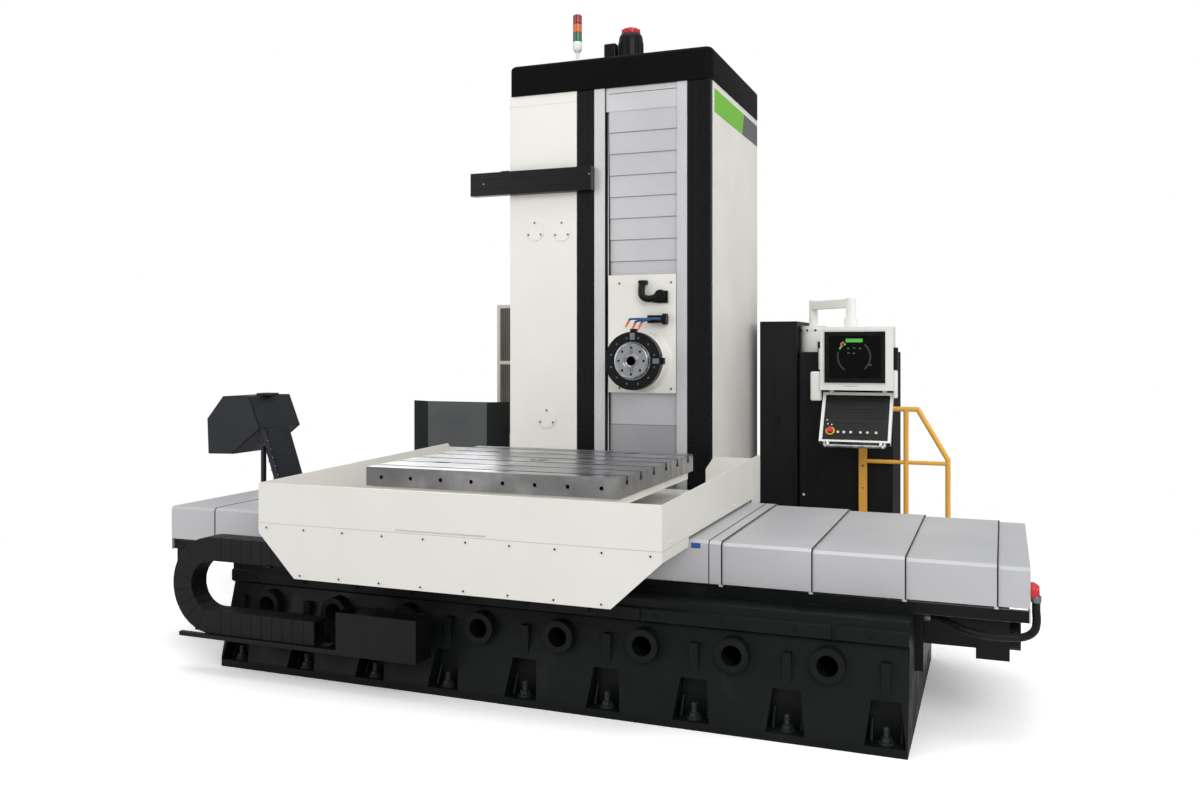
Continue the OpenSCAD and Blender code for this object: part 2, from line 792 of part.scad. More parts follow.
module spindle_head() {
  color("#e0ded9")
    difference() {
      union() {
        // front plate
        bx([slat_left, col_front - 4, head_low], [slat_right, col_front + 8, head_high]);
        // neck between the plate and the body
        bx([slat_left + 14, col_front + 7, head_low + 60], [slat_right - 14, inner_y + 21, head_high - 80]);
        // body on the column's ways
        bx([slat_left, inner_y + 5, head_low + 60], [slat_right, 1990, head_high - 80]);
        // nut bracket
        bx([spin_x - 70, 1989, 2000], [spin_x + 70, 2150, 2200]);
        // hanging and rising skirts behind the plates
        bx([slat_left, inner_y - 5, head_low - 544], [slat_right, inner_y - 2, head_low + 100]);
        bx([slat_left, inner_y - 5, head_high - 120], [slat_right, inner_y - 2, head_high + 190]);
        bx([slat_left + 14, inner_y - 4, head_low + 60], [slat_right - 14, inner_y + 6, head_high - 80]);
        // front housing with its rounded shoulder
        cy(spin_x, spin_z, nose_r, nose_front + 12, col_front);
        translate([spin_x, nose_front, spin_z])
          rotate([-90, 0, 0])
            cylinder(h = 12, r1 = nose_r - 8, r2 = nose_r);
        // flare that joins it to the plate
        translate([spin_x, col_front - 46, spin_z])
          rotate([-90, 0, 0])
            cylinder(h = 43, r1 = nose_r, r2 = nose_r + 20);
      }
      // main bearing bore and the bore for the drawn bar
      cy(spin_x, spin_z, face_r - 1 + fit, nose_front - 1, nose_front + 300);
      cy(spin_x, spin_z, face_r + 30, nose_front + 110, nose_front + 300);
      cy(spin_x, spin_z, quill_r + 20 + fit, nose_front + 299, 1991);
      cz(spin_x, screw_y, 25 + fit, 1990, 2210);
      bx([slat_left - 1, inner_y + 40, head_low + 59], [slat_left + 15, 1960, head_low + 62]);
    }
}

module nose_ring() {
  color("#17181a")
    difference() {
      union() {
        cy(spin_x, spin_z, ring_r, nose_front - 66, nose_front);
        for (a = [0, 90])
          rotate_about(a)
            bx([-24, nose_front - 50, ring_r - 4], [24, nose_front - 14, ring_r + 22]);
      }
      cy(spin_x, spin_z, face_r + 2, nose_front - 70, nose_front + 1);
      for (i = [0 : 11])
        rotate_about(i * 30 + 15)
          cy(0, 172, 10, nose_front - 67, nose_front - 54);
    }
}

// Place children made about the spindle axis at the angle a.
module rotate_about(a) {
  translate([spin_x, 0, spin_z])
    rotate([0, a, 0])
      children();
}

module spindle() {
  color("#b8babc")
    difference() {
      union() {
        cy(spin_x, spin_z, face_r, nose_front - 96, nose_front - 40);
        cy(spin_x, spin_z, face_r - 1, nose_front - 41, nose_front + 290);
        cy(spin_x, spin_z, quill_r + 20, nose_front + 289, 1900);
      }
      cy(spin_x, spin_z, quill_r + fit, nose_front - 97, 1901);
      for (i = [0 : 7])
        rotate_about(i * 45)
          cy(0, 98, 9, nose_front - 97, nose_front - 70);
      // driving key slots in the face
      for (a = [0, 180])
        rotate_about(a)
          bx([-13, nose_front - 97, quill_r + 8], [13, nose_front - 88, 84]);
    }
}

module boring_spindle() {
  color("#cfd1d3")
    difference() {
      cy(spin_x, spin_z, quill_r, nose_front - 98, 1880);
      translate([spin_x, nose_front - 99, spin_z])
        rotate([-90, 0, 0])
          cylinder(h = 110, r1 = 35, r2 = 19);
      cy(spin_x, spin_z, 12, nose_front - 10, 1881);
      bx([spin_x - quill_r - 1, nose_front - 99, spin_z - 8], [spin_x + quill_r + 1, nose_front - 90, spin_z + 8]);
    }
}

// Coolant block with three fittings, and the swivel elbow above it.
block_y = col_front - 72;
module coolant_manifold() {
  color("#101112")
    union() {
      bx([40, block_y, 2198], [186, col_front - 4, 2256]);
      for (x = [62, 104, 146])
        cy(x, 2227, 14, block_y - 12, block_y + 1);
      bx([-40, col_front - 34, 2490], [26, col_front - 4, 2520]);
      cz(-8, col_front - 38, 27, 2370, 2512);
      cx(col_front - 46, 2382, 27, -8, 120);
      cy(132, 2404, 44, col_front - 56, col_front - 4);
      bx([60, col_front - 30, 2350], [184, col_front - 4, 2420]);
    }
}

// One coolant line: it runs to the left from its fitting, bends down and ends in a slanted tip.
module coolant_line(x0, x1, z1, x2, z2) {
  y = block_y - 12 - seat - 8;
  tube_between([x0, y, 2227], [x1 + 10, y - 22, 2227], 8);
  tube_between([x1 + 10, y - 22, 2227], [x1, y - 30, z1], 8);
  tube_between([x1, y - 30, z1], [x2, y - 44, z2], 8);
}
module coolant_lines() {
  color("#1f4f7a")
    union() {
      coolant_line(62, -85, 2214, -112, 2158);
      coolant_line(104, -38, 2196, -58, 2140);
      coolant_line(146, 12, 2196, -8, 2142);
    }
}

/* ---------- shutters ---------- */

// Plate j above the head: upper plates lie in front of lower ones.
module shutter_up(j) {
  y = plate_y + plate_step * (up_n + 1 - j);
  z = up_first + (j - 1) * up_pitch;
  color("#c9cacb")
    union() {
      bx([slat_left, y, z], [slat_right, y + plate_t, z + up_h]);
      bx([slat_left, y + 1, z], [slat_right, y + plate_step - seat, z + 10]);
    }
}

// Plate j below the head: lower plates lie in front of upper ones.
module shutter_down(j) {
  y = plate_y + plate_step * (up_n + 1 - j);
  z = head_low - j * down_pitch;
  color("#c9cacb")
    union() {
      bx([slat_left, y, z - down_h], [slat_right, y + plate_t, z]);
      bx([slat_left, y + 1, z - 10], [slat_right, y + plate_step - seat, z]);
    }
}
module shutter_u1() {
  shutter_up(1);
}
module shutter_u2() {
  shutter_up(2);
}
module shutter_u3() {
  shutter_up(3);
}
module shutter_u4() {
  shutter_up(4);
}
module shutter_u5() {
  shutter_up(5);
}
module shutter_u6() {
  shutter_up(6);
}
module shutter_u7() {
  shutter_up(7);
}
module shutter_d1() {
  shutter_down(1);
}
module shutter_d2() {
  shutter_down(2);
}
module shutter_d3() {
  shutter_down(3);
}

/* ---------- cabinets, panel and platform ---------- */

cab_front = 2400;
door_x0 = 734;
door_x1 = 911;
module cabinet() {
  color("#2c302f")
    difference() {
      union() {
        bx([602, cab_front, deck_z], [915, 3200, cab_tall_z]);
        bx([940, cab_front, deck_z], [1687, 3100, cab_z]);
        bx([914, cab_front + 60, deck_z], [941, 3000, cab_z - 40]);
        // hinge knuckles above and below the door
        for (z = [deck_z + 10, cab_tall_z - 40 + seat]) {
          cz(door_x1 + 2, cab_front - 16, 7, z, z + 30 - seat);
          bx([door_x1 - 3, cab_front - 16, z], [door_x1 + 4, cab_front + 1, z + 30 - seat]);
        }
      }
      bx([608, cab_front + 8, deck_z + 8], [909, 3192, cab_tall_z - 8]);
      bx([door_x0 + 8, cab_front - 1, deck_z + 50], [door_x1 - 8, cab_front + 9, cab_tall_z - 50]);
      bx([948, cab_front + 8, deck_z + 8], [1679, 3092, cab_z - 8]);
    }
}

// Door of the tall cabinet, hinged on its right edge.
module cabinet_door() {
  color("#2f3332")
    union() {
      bx([door_x0, cab_front - 16, deck_z + 40], [door_x1, cab_front - seat, cab_tall_z - 40]);
      bx([door_x0 + 14, cab_front - 34, 1330], [door_x0 + 28, cab_front - 15, 1450]);
      // long hinge barrel
      cz(door_x1 + 2, cab_front - 16, 7, deck_z + 40, cab_tall_z - 40);
    }
}

arm_x = 1024;
arm_y = 2560;
drop_x = 1385;
drop_y = 2190;
arm_z = 2370;
module pendant_arm() {
  color("#dddbd6")
    union() {
      cz(arm_x, arm_y, 104, cab_z + seat, 2198);
      cz(arm_x, arm_y, 107, 2150, 2172);
      cz(arm_x, arm_y, 36, 2197, arm_z + 46);
      hull() {
        cz(arm_x, arm_y, 34, arm_z - 34, arm_z + 34);
        cz(drop_x, drop_y, 34, arm_z - 34, arm_z + 34);
      }
      cz(drop_x, drop_y, 38, 2250, arm_z + 40);
    }
}

module operator_panel() {
  color("#dddbd6")
    difference() {
      union() {
        bx([1170, 2010, 1680], [1729, 2200, 2178]);
        bx([1210, 1996, 1733], [1676, 2011, 2138]);
        cz(drop_x, 2190, 52, 2177, 2250 - seat);
        bx([1150, 2060, 1840], [1171, 2110, 2010]);
        bx([1728, 2060, 1840], [1749, 2110, 2010]);
        // lugs that carry the keyboard
        for (x = [1230, 1640])
          bx([x, 2100, 1600], [x + 30, 2140, 1681]);
        cx(kb_y, kb_z, 8, 1232, 1668);
      }
      bx([1240, 1990, 1775], [1646, 2000, 2110]);
      bx([1174, 2016, 1684], [1725, 2196, 2174]);
    }
}

kb_y = 2120;
kb_z = 1630;
kb_tilt = 58;
// Keyboard slab made about its pivot, then tilted towards the operator.
module keyboard_at() {
  translate([0, kb_y, kb_z])
    rotate([kb_tilt, 0, 0])
      children();
}
module keyboard_panel() {
  color("#dddbd6")
    union() {
      keyboard_at()
        difference() {
          bx([1180, -420, -30], [1720, 20, 26]);
          for (x = [1230, 1640])
            bx([x - gap, -60, -31], [x + 30 + gap, 30, 27]);
          cx(0, 0, 8 + fit, 1170, 1740);
          cz(estop_x, estop_v, 10 + fit, -12, 27);
          bx([1300, -412, -26], [1632, -60, 14]);
          // wells for the keys
          bx([1300, -250, 21], [1690, -120, 27]);
        }
      keyboard_at()
        for (x = [1310 : 54 : 1640])
          for (y = [-235, -185, -150])
            bx([x, y, 20], [x + 34, y + 22, 29]);
      keyboard_at()
        cx(-455, 20, 12, 1230, 1670);
      keyboard_at()
        for (x = [1240, 1640])
          bx([x, -456, 10], [x + 20, -419, 24]);
    }
}

estop_x = 1262;
estop_v = -330;
module estop() {
  color("#c9281f")
    keyboard_at()
      union() {
        cz(estop_x, estop_v, 10, 0, 50);
        cz(estop_x, estop_v, 22, 44, 62);
      }
}

rail_y0 = 2330;
module tube_between(a, b, r) {
  hull() {
    translate(a)
      sphere(r = r, $fn = 16);
    translate(b)
      sphere(r = r, $fn = 16);
  }
}
module railing() {
  color("#e3b548")
    union() {
      bx([1430, rail_y0 - 12, deck_z], [1494, rail_y0 + 12, 1520]);
      cz(1798, rail_y0, rail_r, deck_z, 1523);
      cz(2116, rail_y0, rail_r, 0, 1130);
      cx(rail_y0, 1523, rail_r, 1440, 1889);
      tube_between([1889, rail_y0, 1523], [2116, rail_y0, 1130], rail_r);
      cx(rail_y0, 1098, rail_r * 0.8, 1494 - 1, 2116);
    }
}

// Deck plate on a frame, with one step at its right end.
step_x = 2094;
module platform() {
  color("#6d6f70")
    union() {
      bx([461, 1700, deck_z - 26], [1900, 3300, deck_z]);
      difference() {
        bx([480, 1720, 200], [1880, 3280, deck_z - 25]);
        bx([500, 1740, 199], [1860, 3260, deck_z - 24]);
      }
      for (x = [480, 1180, 1820])
        for (y = [1720, 3220])
          bx([x, y, 0], [x + 60, y + 60, 201]);
      bx([1899, 2000, 160], [step_x, 2700, 185]);
      for (y = [2010, 2660])
        bx([1899, y, 0], [step_x - 10, y + 30, 161]);
      bx([460, 1800, 210], [481, 3200, 330]);
    }
}

module guard_screen() {
  color("#45484a")
    union() {
      linear_extrude(guard_z)
        polygon([[-2522, 1990], [-2324, 1900], [-1727, 1900], [-1550, 1990], [-1552, 1994], [-1728, 1905],
          [-2323, 1905], [-2520, 1994]]);
      for (x = [-2330, -1762])
        bx([x, 1904, 0], [x + 40, 1960, guard_z - 40]);
      bx([-2330, 1950, 0], [-1080, 2010, 60]);
    }
}

cool_front = 2700;
module cooling_cabinet() {
  color("#e2e0d8")
    difference() {
      bx([-2033, cool_front, 0], [-1240, 3300, cool_z]);
      bx([-2000, cool_front - 1, 1890], [-1290, cool_front + 60, cool_z - 34]);
      bx([-2000, cool_front - 1, 1180], [-1290, cool_front + 60, 1856]);
      bx([-2023, cool_front + 72, 12], [-1250, 3290, cool_z - 12]);
    }
  color("#4a4642")
    for (x = [-1985 : 28 : -1300])
      bx([x, cool_front + 20, 1179], [x + 14, cool_front + 61, cool_z - 33]);
  color("#2b2c2b")
    bx([-1240, 2900, 100], [-1080, 3000, 160]);
}

/* ---------- chip conveyor ---------- */

conv_y = 800;
module conveyor() {
  color("#202327")
    union() {
      // trough under the opening of the pan, behind the front bed
      difference() {
        bx([-2600, 790, 262], [900, 1090, 600]);
        bx([-2601, 798, 300], [892, 1082, 601]);
      }
      for (x = [-2200, -1500, 500])
        bx([x, 820, 0], [x + 60, 1060, 263]);
      bx([-2060, bed_back, 300], [-1960, 791, 420]);
      // rising casing
      difference() {
        xz(conv_y, conv_y + conv_w)
          polygon([[-3350, 1345], [-2985, 1300], [-2620, 600], [-2450, 600], [-2450, 262], [-2760, 262],
            [-2880, 520]]);
        xz(conv_y + 10, conv_y + conv_w - 10)
          polygon([[-3330, 1345], [-3005, 1290], [-2640, 590], [-2440, 590], [-2440, 275], [-2750, 275],
            [-2865, 520]]);
      }
      // drive hood with an open mouth below
      difference() {
        xz(conv_y, conv_y + conv_w)
          polygon([[-3835, 1408], [-3667, 1603], [-3391, 1605], [-3279, 1338], [-3570, 1115], [-3822, 1109]]);
        xz(conv_y + 8, conv_y + conv_w - 8)
          polygon([[-3827, 1408], [-3662, 1595], [-3396, 1597], [-3290, 1341], [-3573, 1123], [-3578, 1100],
            [-3814, 1100]]);
      }
      // drive motor on the rear side and legs
      cy(-3480, 1390, 95, conv_y + conv_w - 1, conv_y + conv_w + 160);
      for (y = [conv_y + 10, conv_y + conv_w - 50])
        bx([-3290, y, 0], [-3245, y + 40, 1330]);
    }
}

/* ---------- assembly ---------- */

front_bed();
levelling_bolts();
x_rails();
x_ballscrew();
x_drive();
cable_tray();
cable_carrier();
coolant_hose();
saddle();
chip_pan();
pan_screws();
table_skirt();
rotary_table();
covers_inner();
cover_r2();
cover_r3();
cover_r4();
cover_l2();
cover_l3();
covers_end();
rear_bed();
y_rails();
y_ballscrew();
column();
column_cap();
column_panel();
column_trim();
way_strips();
side_beam();
access_plates();
stack_light();
head_motor();
z_ballscrew();
spindle_head();
nose_ring();
spindle();
boring_spindle();
coolant_manifold();
coolant_lines();
shutter_u1();
shutter_u2();
shutter_u3();
shutter_u4();
shutter_u5();
shutter_u6();
shutter_u7();
shutter_d1();
shutter_d2();
shutter_d3();
cabinet();
cabinet_door();
pendant_arm();
operator_panel();
keyboard_panel();
estop();
railing();
platform();
guard_screen();
cooling_cabinet();
conveyor();
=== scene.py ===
"""Looks of a horizontal boring mill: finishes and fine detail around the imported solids.

Lengths in the classes are millimetres in the model's own frame: X along the front bed to the
right, Y away from the operator, Z up from the floor. Meshes are written in metres.
"""
import logging
import math
from dataclasses import dataclass, field
from enum import Enum
from typing import Iterable, Optional, Sequence

import bmesh
import bpy
from mathutils import Matrix, Vector


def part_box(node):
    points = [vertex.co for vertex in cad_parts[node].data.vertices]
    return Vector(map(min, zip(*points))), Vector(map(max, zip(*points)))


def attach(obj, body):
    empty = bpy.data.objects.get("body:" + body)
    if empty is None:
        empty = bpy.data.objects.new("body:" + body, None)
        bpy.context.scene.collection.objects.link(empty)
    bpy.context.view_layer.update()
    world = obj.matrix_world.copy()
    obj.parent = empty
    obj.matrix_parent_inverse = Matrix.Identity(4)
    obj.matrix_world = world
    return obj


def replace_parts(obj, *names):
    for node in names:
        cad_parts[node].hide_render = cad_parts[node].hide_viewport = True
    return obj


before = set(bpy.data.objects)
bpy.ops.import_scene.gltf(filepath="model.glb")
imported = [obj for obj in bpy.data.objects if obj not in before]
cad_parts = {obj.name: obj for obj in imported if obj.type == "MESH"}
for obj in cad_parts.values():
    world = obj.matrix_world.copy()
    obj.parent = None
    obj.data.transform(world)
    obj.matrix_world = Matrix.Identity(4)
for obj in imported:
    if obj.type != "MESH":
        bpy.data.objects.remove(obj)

LOG = logging.getLogger("boring_mill")
Tree = bpy.types.NodeTree
Node = bpy.types.Node
Socket = bpy.types.NodeSocket
Point = tuple[float, float, float]
Flat = tuple[float, float]

MM = 0.001
UP: Point = (0, 0, 1)
FRONT: Point = (0, -1, 0)
RIGHT: Point = (1, 0, 0)
# Waves that a wave texture has in a metre at scale 1, roughly
WAVES_PER_METRE = 3.14
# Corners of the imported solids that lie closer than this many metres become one
WELD_DISTANCE = 0.00002
# Only edges sharper than this many degrees are rounded
EDGE_ANGLE = 30
# How far the larger faces decide the shading of the rounded edges; 50 is even
FACE_WEIGHT = 80


class Slot(Enum):
    """Material slots of the record, one named by each finish."""

    BED = "bed_paint"
    WHITE = "machine_white"
    BLACK = "black_paint"
    COVER = "cover_steel"
    TABLE = "table_steel"
    BRIGHT = "bright_steel"
    CAST = "cast_dark"
    RUBBER = "rubber_black"
    BLUE = "blue_hose"
    YELLOW = "yellow_paint"
    CABINET = "cabinet_grey"
    SCREEN = "screen_grey"
    DECK = "deck_grey"
    LAMP = "lamp_plastic"
    RED = "red_plastic"
    CHAIN = "chain_plastic"


class Axis(Enum):
    """Axis that an outline is drawn out along; the outline's own axes are the other two."""

    X = 0
    Y = 1
    Z = 2


def linear(code: str) -> tuple[float, float, float, float]:
    """Turn an sRGB hex colour into linear light.

    Args:
        code: Six hex digits, with or without a leading #.

    Returns:
        Linear red, green, blue and an alpha of 1.
    """
    digits = code.lstrip("#")
    out = []
    for i in (0, 2, 4):
        c = int(digits[i:i + 2], 16) / 255
        out.append(c / 12.92 if c <= 0.04045 else ((c + 0.055) / 1.055) ** 2.4)
    return (out[0], out[1], out[2], 1.0)


def add_node(tree: Tree, kind: str, inputs: Optional[dict] = None, **settings: object) -> Node:
    """Add one node with its settings, and set or link its inputs.

    Args:
        tree: Node tree that gets the node.
        kind: Blender's type name of the node.
        inputs: Value or output socket for each input, by name or index.
        settings: Properties of the node itself.

    Returns:
        The new node.
    """
    node = tree.nodes.new(kind)
    for key, value in settings.items():
        setattr(node, key, value)
    for key, value in (inputs or {}).items():
        if isinstance(value, Socket):
            tree.links.new(value, node.inputs[key])
        else:
            node.inputs[key].default_value = value
    return node


# ---------------------------------------------------------------------------
# Finishes
# ---------------------------------------------------------------------------


@dataclass(frozen=True)
class Finish:
    """A real surface. Subclasses add what its making leaves for the eye to see."""

    name: str
    colour: str
    roughness: float = 0.5
    slot: Slot = Slot.BLACK
    gloss: float = 0.5

    def build(self) -> bpy.types.Material:
        """Make the material once and return it."""
        known = bpy.data.materials.get(self.name)
        if known:
            return known
        material = bpy.data.materials.new(self.name)
        material.use_nodes = True
        tree = material.node_tree
        shader = tree.nodes["Principled BSDF"]
        shader.inputs["Base Color"].default_value = linear(self.colour)
        shader.inputs["Roughness"].default_value = self.roughness
        shader.inputs["Specular IOR Level"].default_value = self.gloss
        self.dress(tree, shader)
        return material

    def dress(self, tree: Tree, shader: Node) -> None:
        """Link this surface's pattern into the shader."""

    def place(self, tree: Tree, scale: Point = (1, 1, 1)) -> Socket:
        """Return the object's own coordinates in metres, stretched by scale."""
        coords = add_node(tree, "ShaderNodeTexCoord").outputs["Object"]
        return add_node(tree, "ShaderNodeMapping", {"Vector": coords, "Scale": scale}).outputs["Vector"]

    def noise(self, tree: Tree, size_mm: float, detail: float = 3, stretch: Point = (1, 1, 1)) -> Socket:
        """Return a noise whose blobs are about size_mm across, before the stretch."""
        where = self.place(tree, stretch)
        made = add_node(tree, "ShaderNodeTexNoise",
                        {"Vector": where, "Scale": 1 / (size_mm * MM), "Detail": detail})
        return made.outputs["Fac"]

    def paint(self, tree: Tree, shader: Node, fac: Socket, stops: Sequence[tuple[float, str]]) -> None:
        """Colour the surface by fac; stops are (position, hex)."""
        node = add_node(tree, "ShaderNodeValToRGB", {"Fac": fac})
        band = node.color_ramp
        while len(band.elements) < len(stops):
            band.elements.new(0.5)
        for element, (position, code) in zip(band.elements, stops):
            element.position = position
            element.color = linear(code)
        tree.links.new(node.outputs["Color"], shader.inputs["Base Color"])

    def tint(self, tree: Tree, shader: Node, value: Socket) -> None:
        """Give the surface its own colour, lighter or darker by value."""
        node = add_node(tree, "ShaderNodeHueSaturation", {"Color": linear(self.colour), "Value": value})
        tree.links.new(node.outputs["Color"], shader.inputs["Base Color"])

    def vary(self, tree: Tree, shader: Node, fac: Socket, down: float, up: float, start: float = 0.35,
             end: float = 0.65) -> None:
        """Let the roughness follow fac, from down below its own value to up above it."""
        rough = self.span(tree, fac, self.roughness - down, self.roughness + up, start, end)
        tree.links.new(rough, shader.inputs["Roughness"])

    def span(self, tree: Tree, fac: Socket, low: float, high: float, start: float = 0.35,
             end: float = 0.65) -> Socket:
        """Return fac taken from start..end to low..high."""
        node = add_node(tree, "ShaderNodeMapRange",
                        {"Value": fac, "From Min": start, "From Max": end, "To Min": low, "To Max": high})
        return node.outputs["Result"]

    def bump(self, tree: Tree, shader: Node, layers: Sequence[tuple[Socket, float]]) -> None:
        """Raise the surface by each height pattern in turn; the second value is its depth in mm."""
        normal = None
        for height, depth in layers:
            inputs = {"Height": height, "Distance": depth * MM, "Strength": 1.0}
            if normal:
                inputs["Normal"] = normal
            normal = add_node(tree, "ShaderNodeBump", inputs).outputs["Normal"]
        tree.links.new(normal, shader.inputs["Normal"])


@dataclass(frozen=True)
class SprayedEnamel(Finish):
    """Two-pack machine enamel sprayed over filler: a soft sheen broken by a faint orange peel."""

    second: str = ""
    peel_mm: float = 16
    peel_depth: float = 0.25

    def dress(self, tree: Tree, shader: Node) -> None:
        """Link a slow drift of tone, orange peel and a slightly uneven gloss."""
        drift = self.noise(tree, 420, 2)
        self.paint(tree, shader, drift, [(0.35, self.colour), (0.65, self.second or self.colour)])
        # orange peel is about 3 mm across on such paint; drawn coarser so that it shows
        peel = self.noise(tree, self.peel_mm, 1)
        self.vary(tree, shader, peel, 0.04, 0.05)
        self.bump(tree, shader, [(peel, self.peel_depth)])


@dataclass(frozen=True)
class SkirtedEnamel(SprayedEnamel):
    """Enamelled casting whose bare sheet skirts lie behind its front plate."""

    skirt: str = "#CFCFD2"
    skirt_y: float = 1199

    def dress(self, tree: Tree, shader: Node) -> None:
        """Link the enamel, and the sheet's colour and shine from skirt_y back."""
        super().dress(tree, shader)
        enamel = shader.inputs["Base Color"].links[0].from_socket
        parts = add_node(tree, "ShaderNodeSeparateXYZ", {"Vector": self.place(tree)})
        behind = add_node(tree, "ShaderNodeMath", {0: parts.outputs["Y"], 1: self.skirt_y * MM},
                          operation="GREATER_THAN").outputs[0]
        mixed = add_node(tree, "ShaderNodeMix", {"Factor": behind, "A": enamel, "B": linear(self.skirt)},
                         data_type="RGBA")
        tree.links.new(mixed.outputs["Result"], shader.inputs["Base Color"])
        tree.links.new(self.span(tree, behind, 0.0, 0.5, 0, 1), shader.inputs["Metallic"])


@dataclass(frozen=True)
class CastEnamel(Finish):
    """Grey iron cast in sand, painted by brush: lumps of the mould, pits, and oil bloom on the paint."""

    bloom: str = "#4A4C4A"

    def dress(self, tree: Tree, shader: Node) -> None:
        """Link mould lumps, sand grain and patches of dull bloom."""
        lumps = self.noise(tree, 150, 3)
        grain = self.noise(tree, 11, 4)
        patches = self.noise(tree, 260, 5)
        self.paint(tree, shader, patches, [(0.30, self.colour), (0.62, self.colour), (0.80, self.bloom)])
        self.vary(tree, shader, patches, 0.1, 0.14)
        self.bump(tree, shader, [(lumps, 7.0), (grain, 0.55)])


@dataclass(frozen=True)
class RolledSheet(Finish):
    """Rolled and ground steel sheet: a satin grain along the rolling direction and clouded reflections."""

    along: Point = (1, 40, 1)
    dull: str = "#8E9092"
    metal: float = 0.6

    def dress(self, tree: Tree, shader: Node) -> None:
        """Link the rolling grain, broad clouds of tone and a slow change of gloss."""
        shader.inputs["Metallic"].default_value = self.metal
        # the grain is about 0.3 mm apart; drawn at 6 mm so that it shows
        lines = self.noise(tree, 240, 2, self.along)
        clouds = self.noise(tree, 900, 2)
        faint = self.span(tree, lines, -0.12, 0.12, 0.3, 0.7)
        broad = self.span(tree, clouds, 0.1, 0.9, 0.35, 0.65)
        mixed = add_node(tree, "ShaderNodeMath", {0: faint, 1: broad}, operation="ADD").outputs[0]
        self.paint(tree, shader, mixed, [(0.0, self.dull), (1.0, self.colour)])
        self.vary(tree, shader, lines, 0.03, 0.04)
        self.bump(tree, shader, [(lines, 0.03)])


@dataclass(frozen=True)
class TurnedSteel(Finish):
    """Steel turned on a lathe about an axis along Y: fine rings round the centre."""

    centre: Flat = (0, 0)
    pitch_mm: float = 5

    def dress(self, tree: Tree, shader: Node) -> None:
        """Link rings about the centre and a soft change of tone."""
        shader.inputs["Metallic"].default_value = 1.0
        coords = add_node(tree, "ShaderNodeTexCoord").outputs["Object"]
        shift = (-self.centre[0] * MM, 0, -self.centre[1] * MM)
        moved = add_node(tree, "ShaderNodeMapping", {"Vector": coords, "Location": shift}).outputs["Vector"]
        # the feed marks are 0.2 mm apart; drawn at 5 mm so that they show
        size = 1 / (self.pitch_mm * MM * WAVES_PER_METRE)
        rings = add_node(tree, "ShaderNodeTexWave", {"Vector": moved, "Scale": size, "Distortion": 0.4},
                         wave_type="RINGS", rings_direction="Y").outputs["Fac"]
        self.paint(tree, shader, rings, [(0.0, "#8D8F92"), (1.0, self.colour)])
        self.vary(tree, shader, rings, 0.06, 0.08, 0, 1)
        self.bump(tree, shader, [(rings, 0.15)])


@dataclass(frozen=True)
class GroundIron(Finish):
    """Grey iron ground flat: pale, with long straight marks, rub marks and faint stains."""

    dull: str = "#77787A"

    def dress(self, tree: Tree, shader: Node) -> None:
        """Link grinding marks along X, broad bands of gloss and stains."""
        shader.inputs["Metallic"].default_value = 0.9
        lines = self.noise(tree, 240, 3, (1, 30, 1))
        bands = self.noise(tree, 420, 2, (0.25, 6, 0.25))
        stains = self.noise(tree, 330, 4)
        faint = self.span(tree, lines, -0.15, 0.15, 0.3, 0.7)
        broad = self.span(tree, stains, 0.1, 0.9, 0.3, 0.7)
        both = add_node(tree, "ShaderNodeMath", {0: faint, 1: broad}, operation="ADD").outputs[0]
        self.paint(tree, shader, both, [(0.0, self.dull), (0.6, self.colour), (1.0, "#C6C7C9")])
        self.vary(tree, shader, bands, 0.05, 0.12)
        self.bump(tree, shader, [(lines, 0.03), (bands, 0.5)])


@dataclass(frozen=True)
class BrightSteel(Finish):
    """Turned or ground bar and fasteners: bright, with slight smears of oil."""

    def dress(self, tree: Tree, shader: Node) -> None:
        """Link smears of oil over the bare metal."""
        shader.inputs["Metallic"].default_value = 1.0
        smears = self.noise(tree, 60, 3)
        self.paint(tree, shader, smears, [(0.3, "#8F9194"), (0.7, self.colour)])
        self.vary(tree, shader, smears, 0.08, 0.1)
        self.bump(tree, shader, [(smears, 0.1)])


@dataclass(frozen=True)
class Moulded(Finish):
    """Injection-moulded plastic or rubber: an even fine grain with little gloss."""

    grain_mm: float = 4
    grain_depth: float = 0.12

    def dress(self, tree: Tree, shader: Node) -> None:
        """Link the grain of the mould and a slight change of tone."""
        grain = self.noise(tree, self.grain_mm, 2)
        drift = self.noise(tree, 120, 2)
        self.vary(tree, shader, drift, 0.05, 0.07)
        self.tint(tree, shader, self.span(tree, drift, 0.92, 1.06))
        self.bump(tree, shader, [(grain, self.grain_depth)])


@dataclass(frozen=True)
class Lens(Finish):
    """Coloured polycarbonate lamp lens: glossy, ribbed inside, lit through by daylight."""

    glow: float = 0.05
    rib_mm: float = 9

    def dress(self, tree: Tree, shader: Node) -> None:
        """Link the inner ribs and a little light from within."""
        shader.inputs["Coat Weight"].default_value = 0.6
        shader.inputs["Emission Color"].default_value = linear(self.colour)
        shader.inputs["Emission Strength"].default_value = self.glow
        size = 1 / (self.rib_mm * MM * WAVES_PER_METRE)
        ribs = add_node(tree, "ShaderNodeTexWave", {"Vector": self.place(tree), "Scale": size},
                        wave_type="BANDS", bands_direction="Z").outputs["Fac"]
        self.tint(tree, shader, self.span(tree, ribs, 0.8, 1.1, 0, 1))
        self.bump(tree, shader, [(ribs, 0.3)])


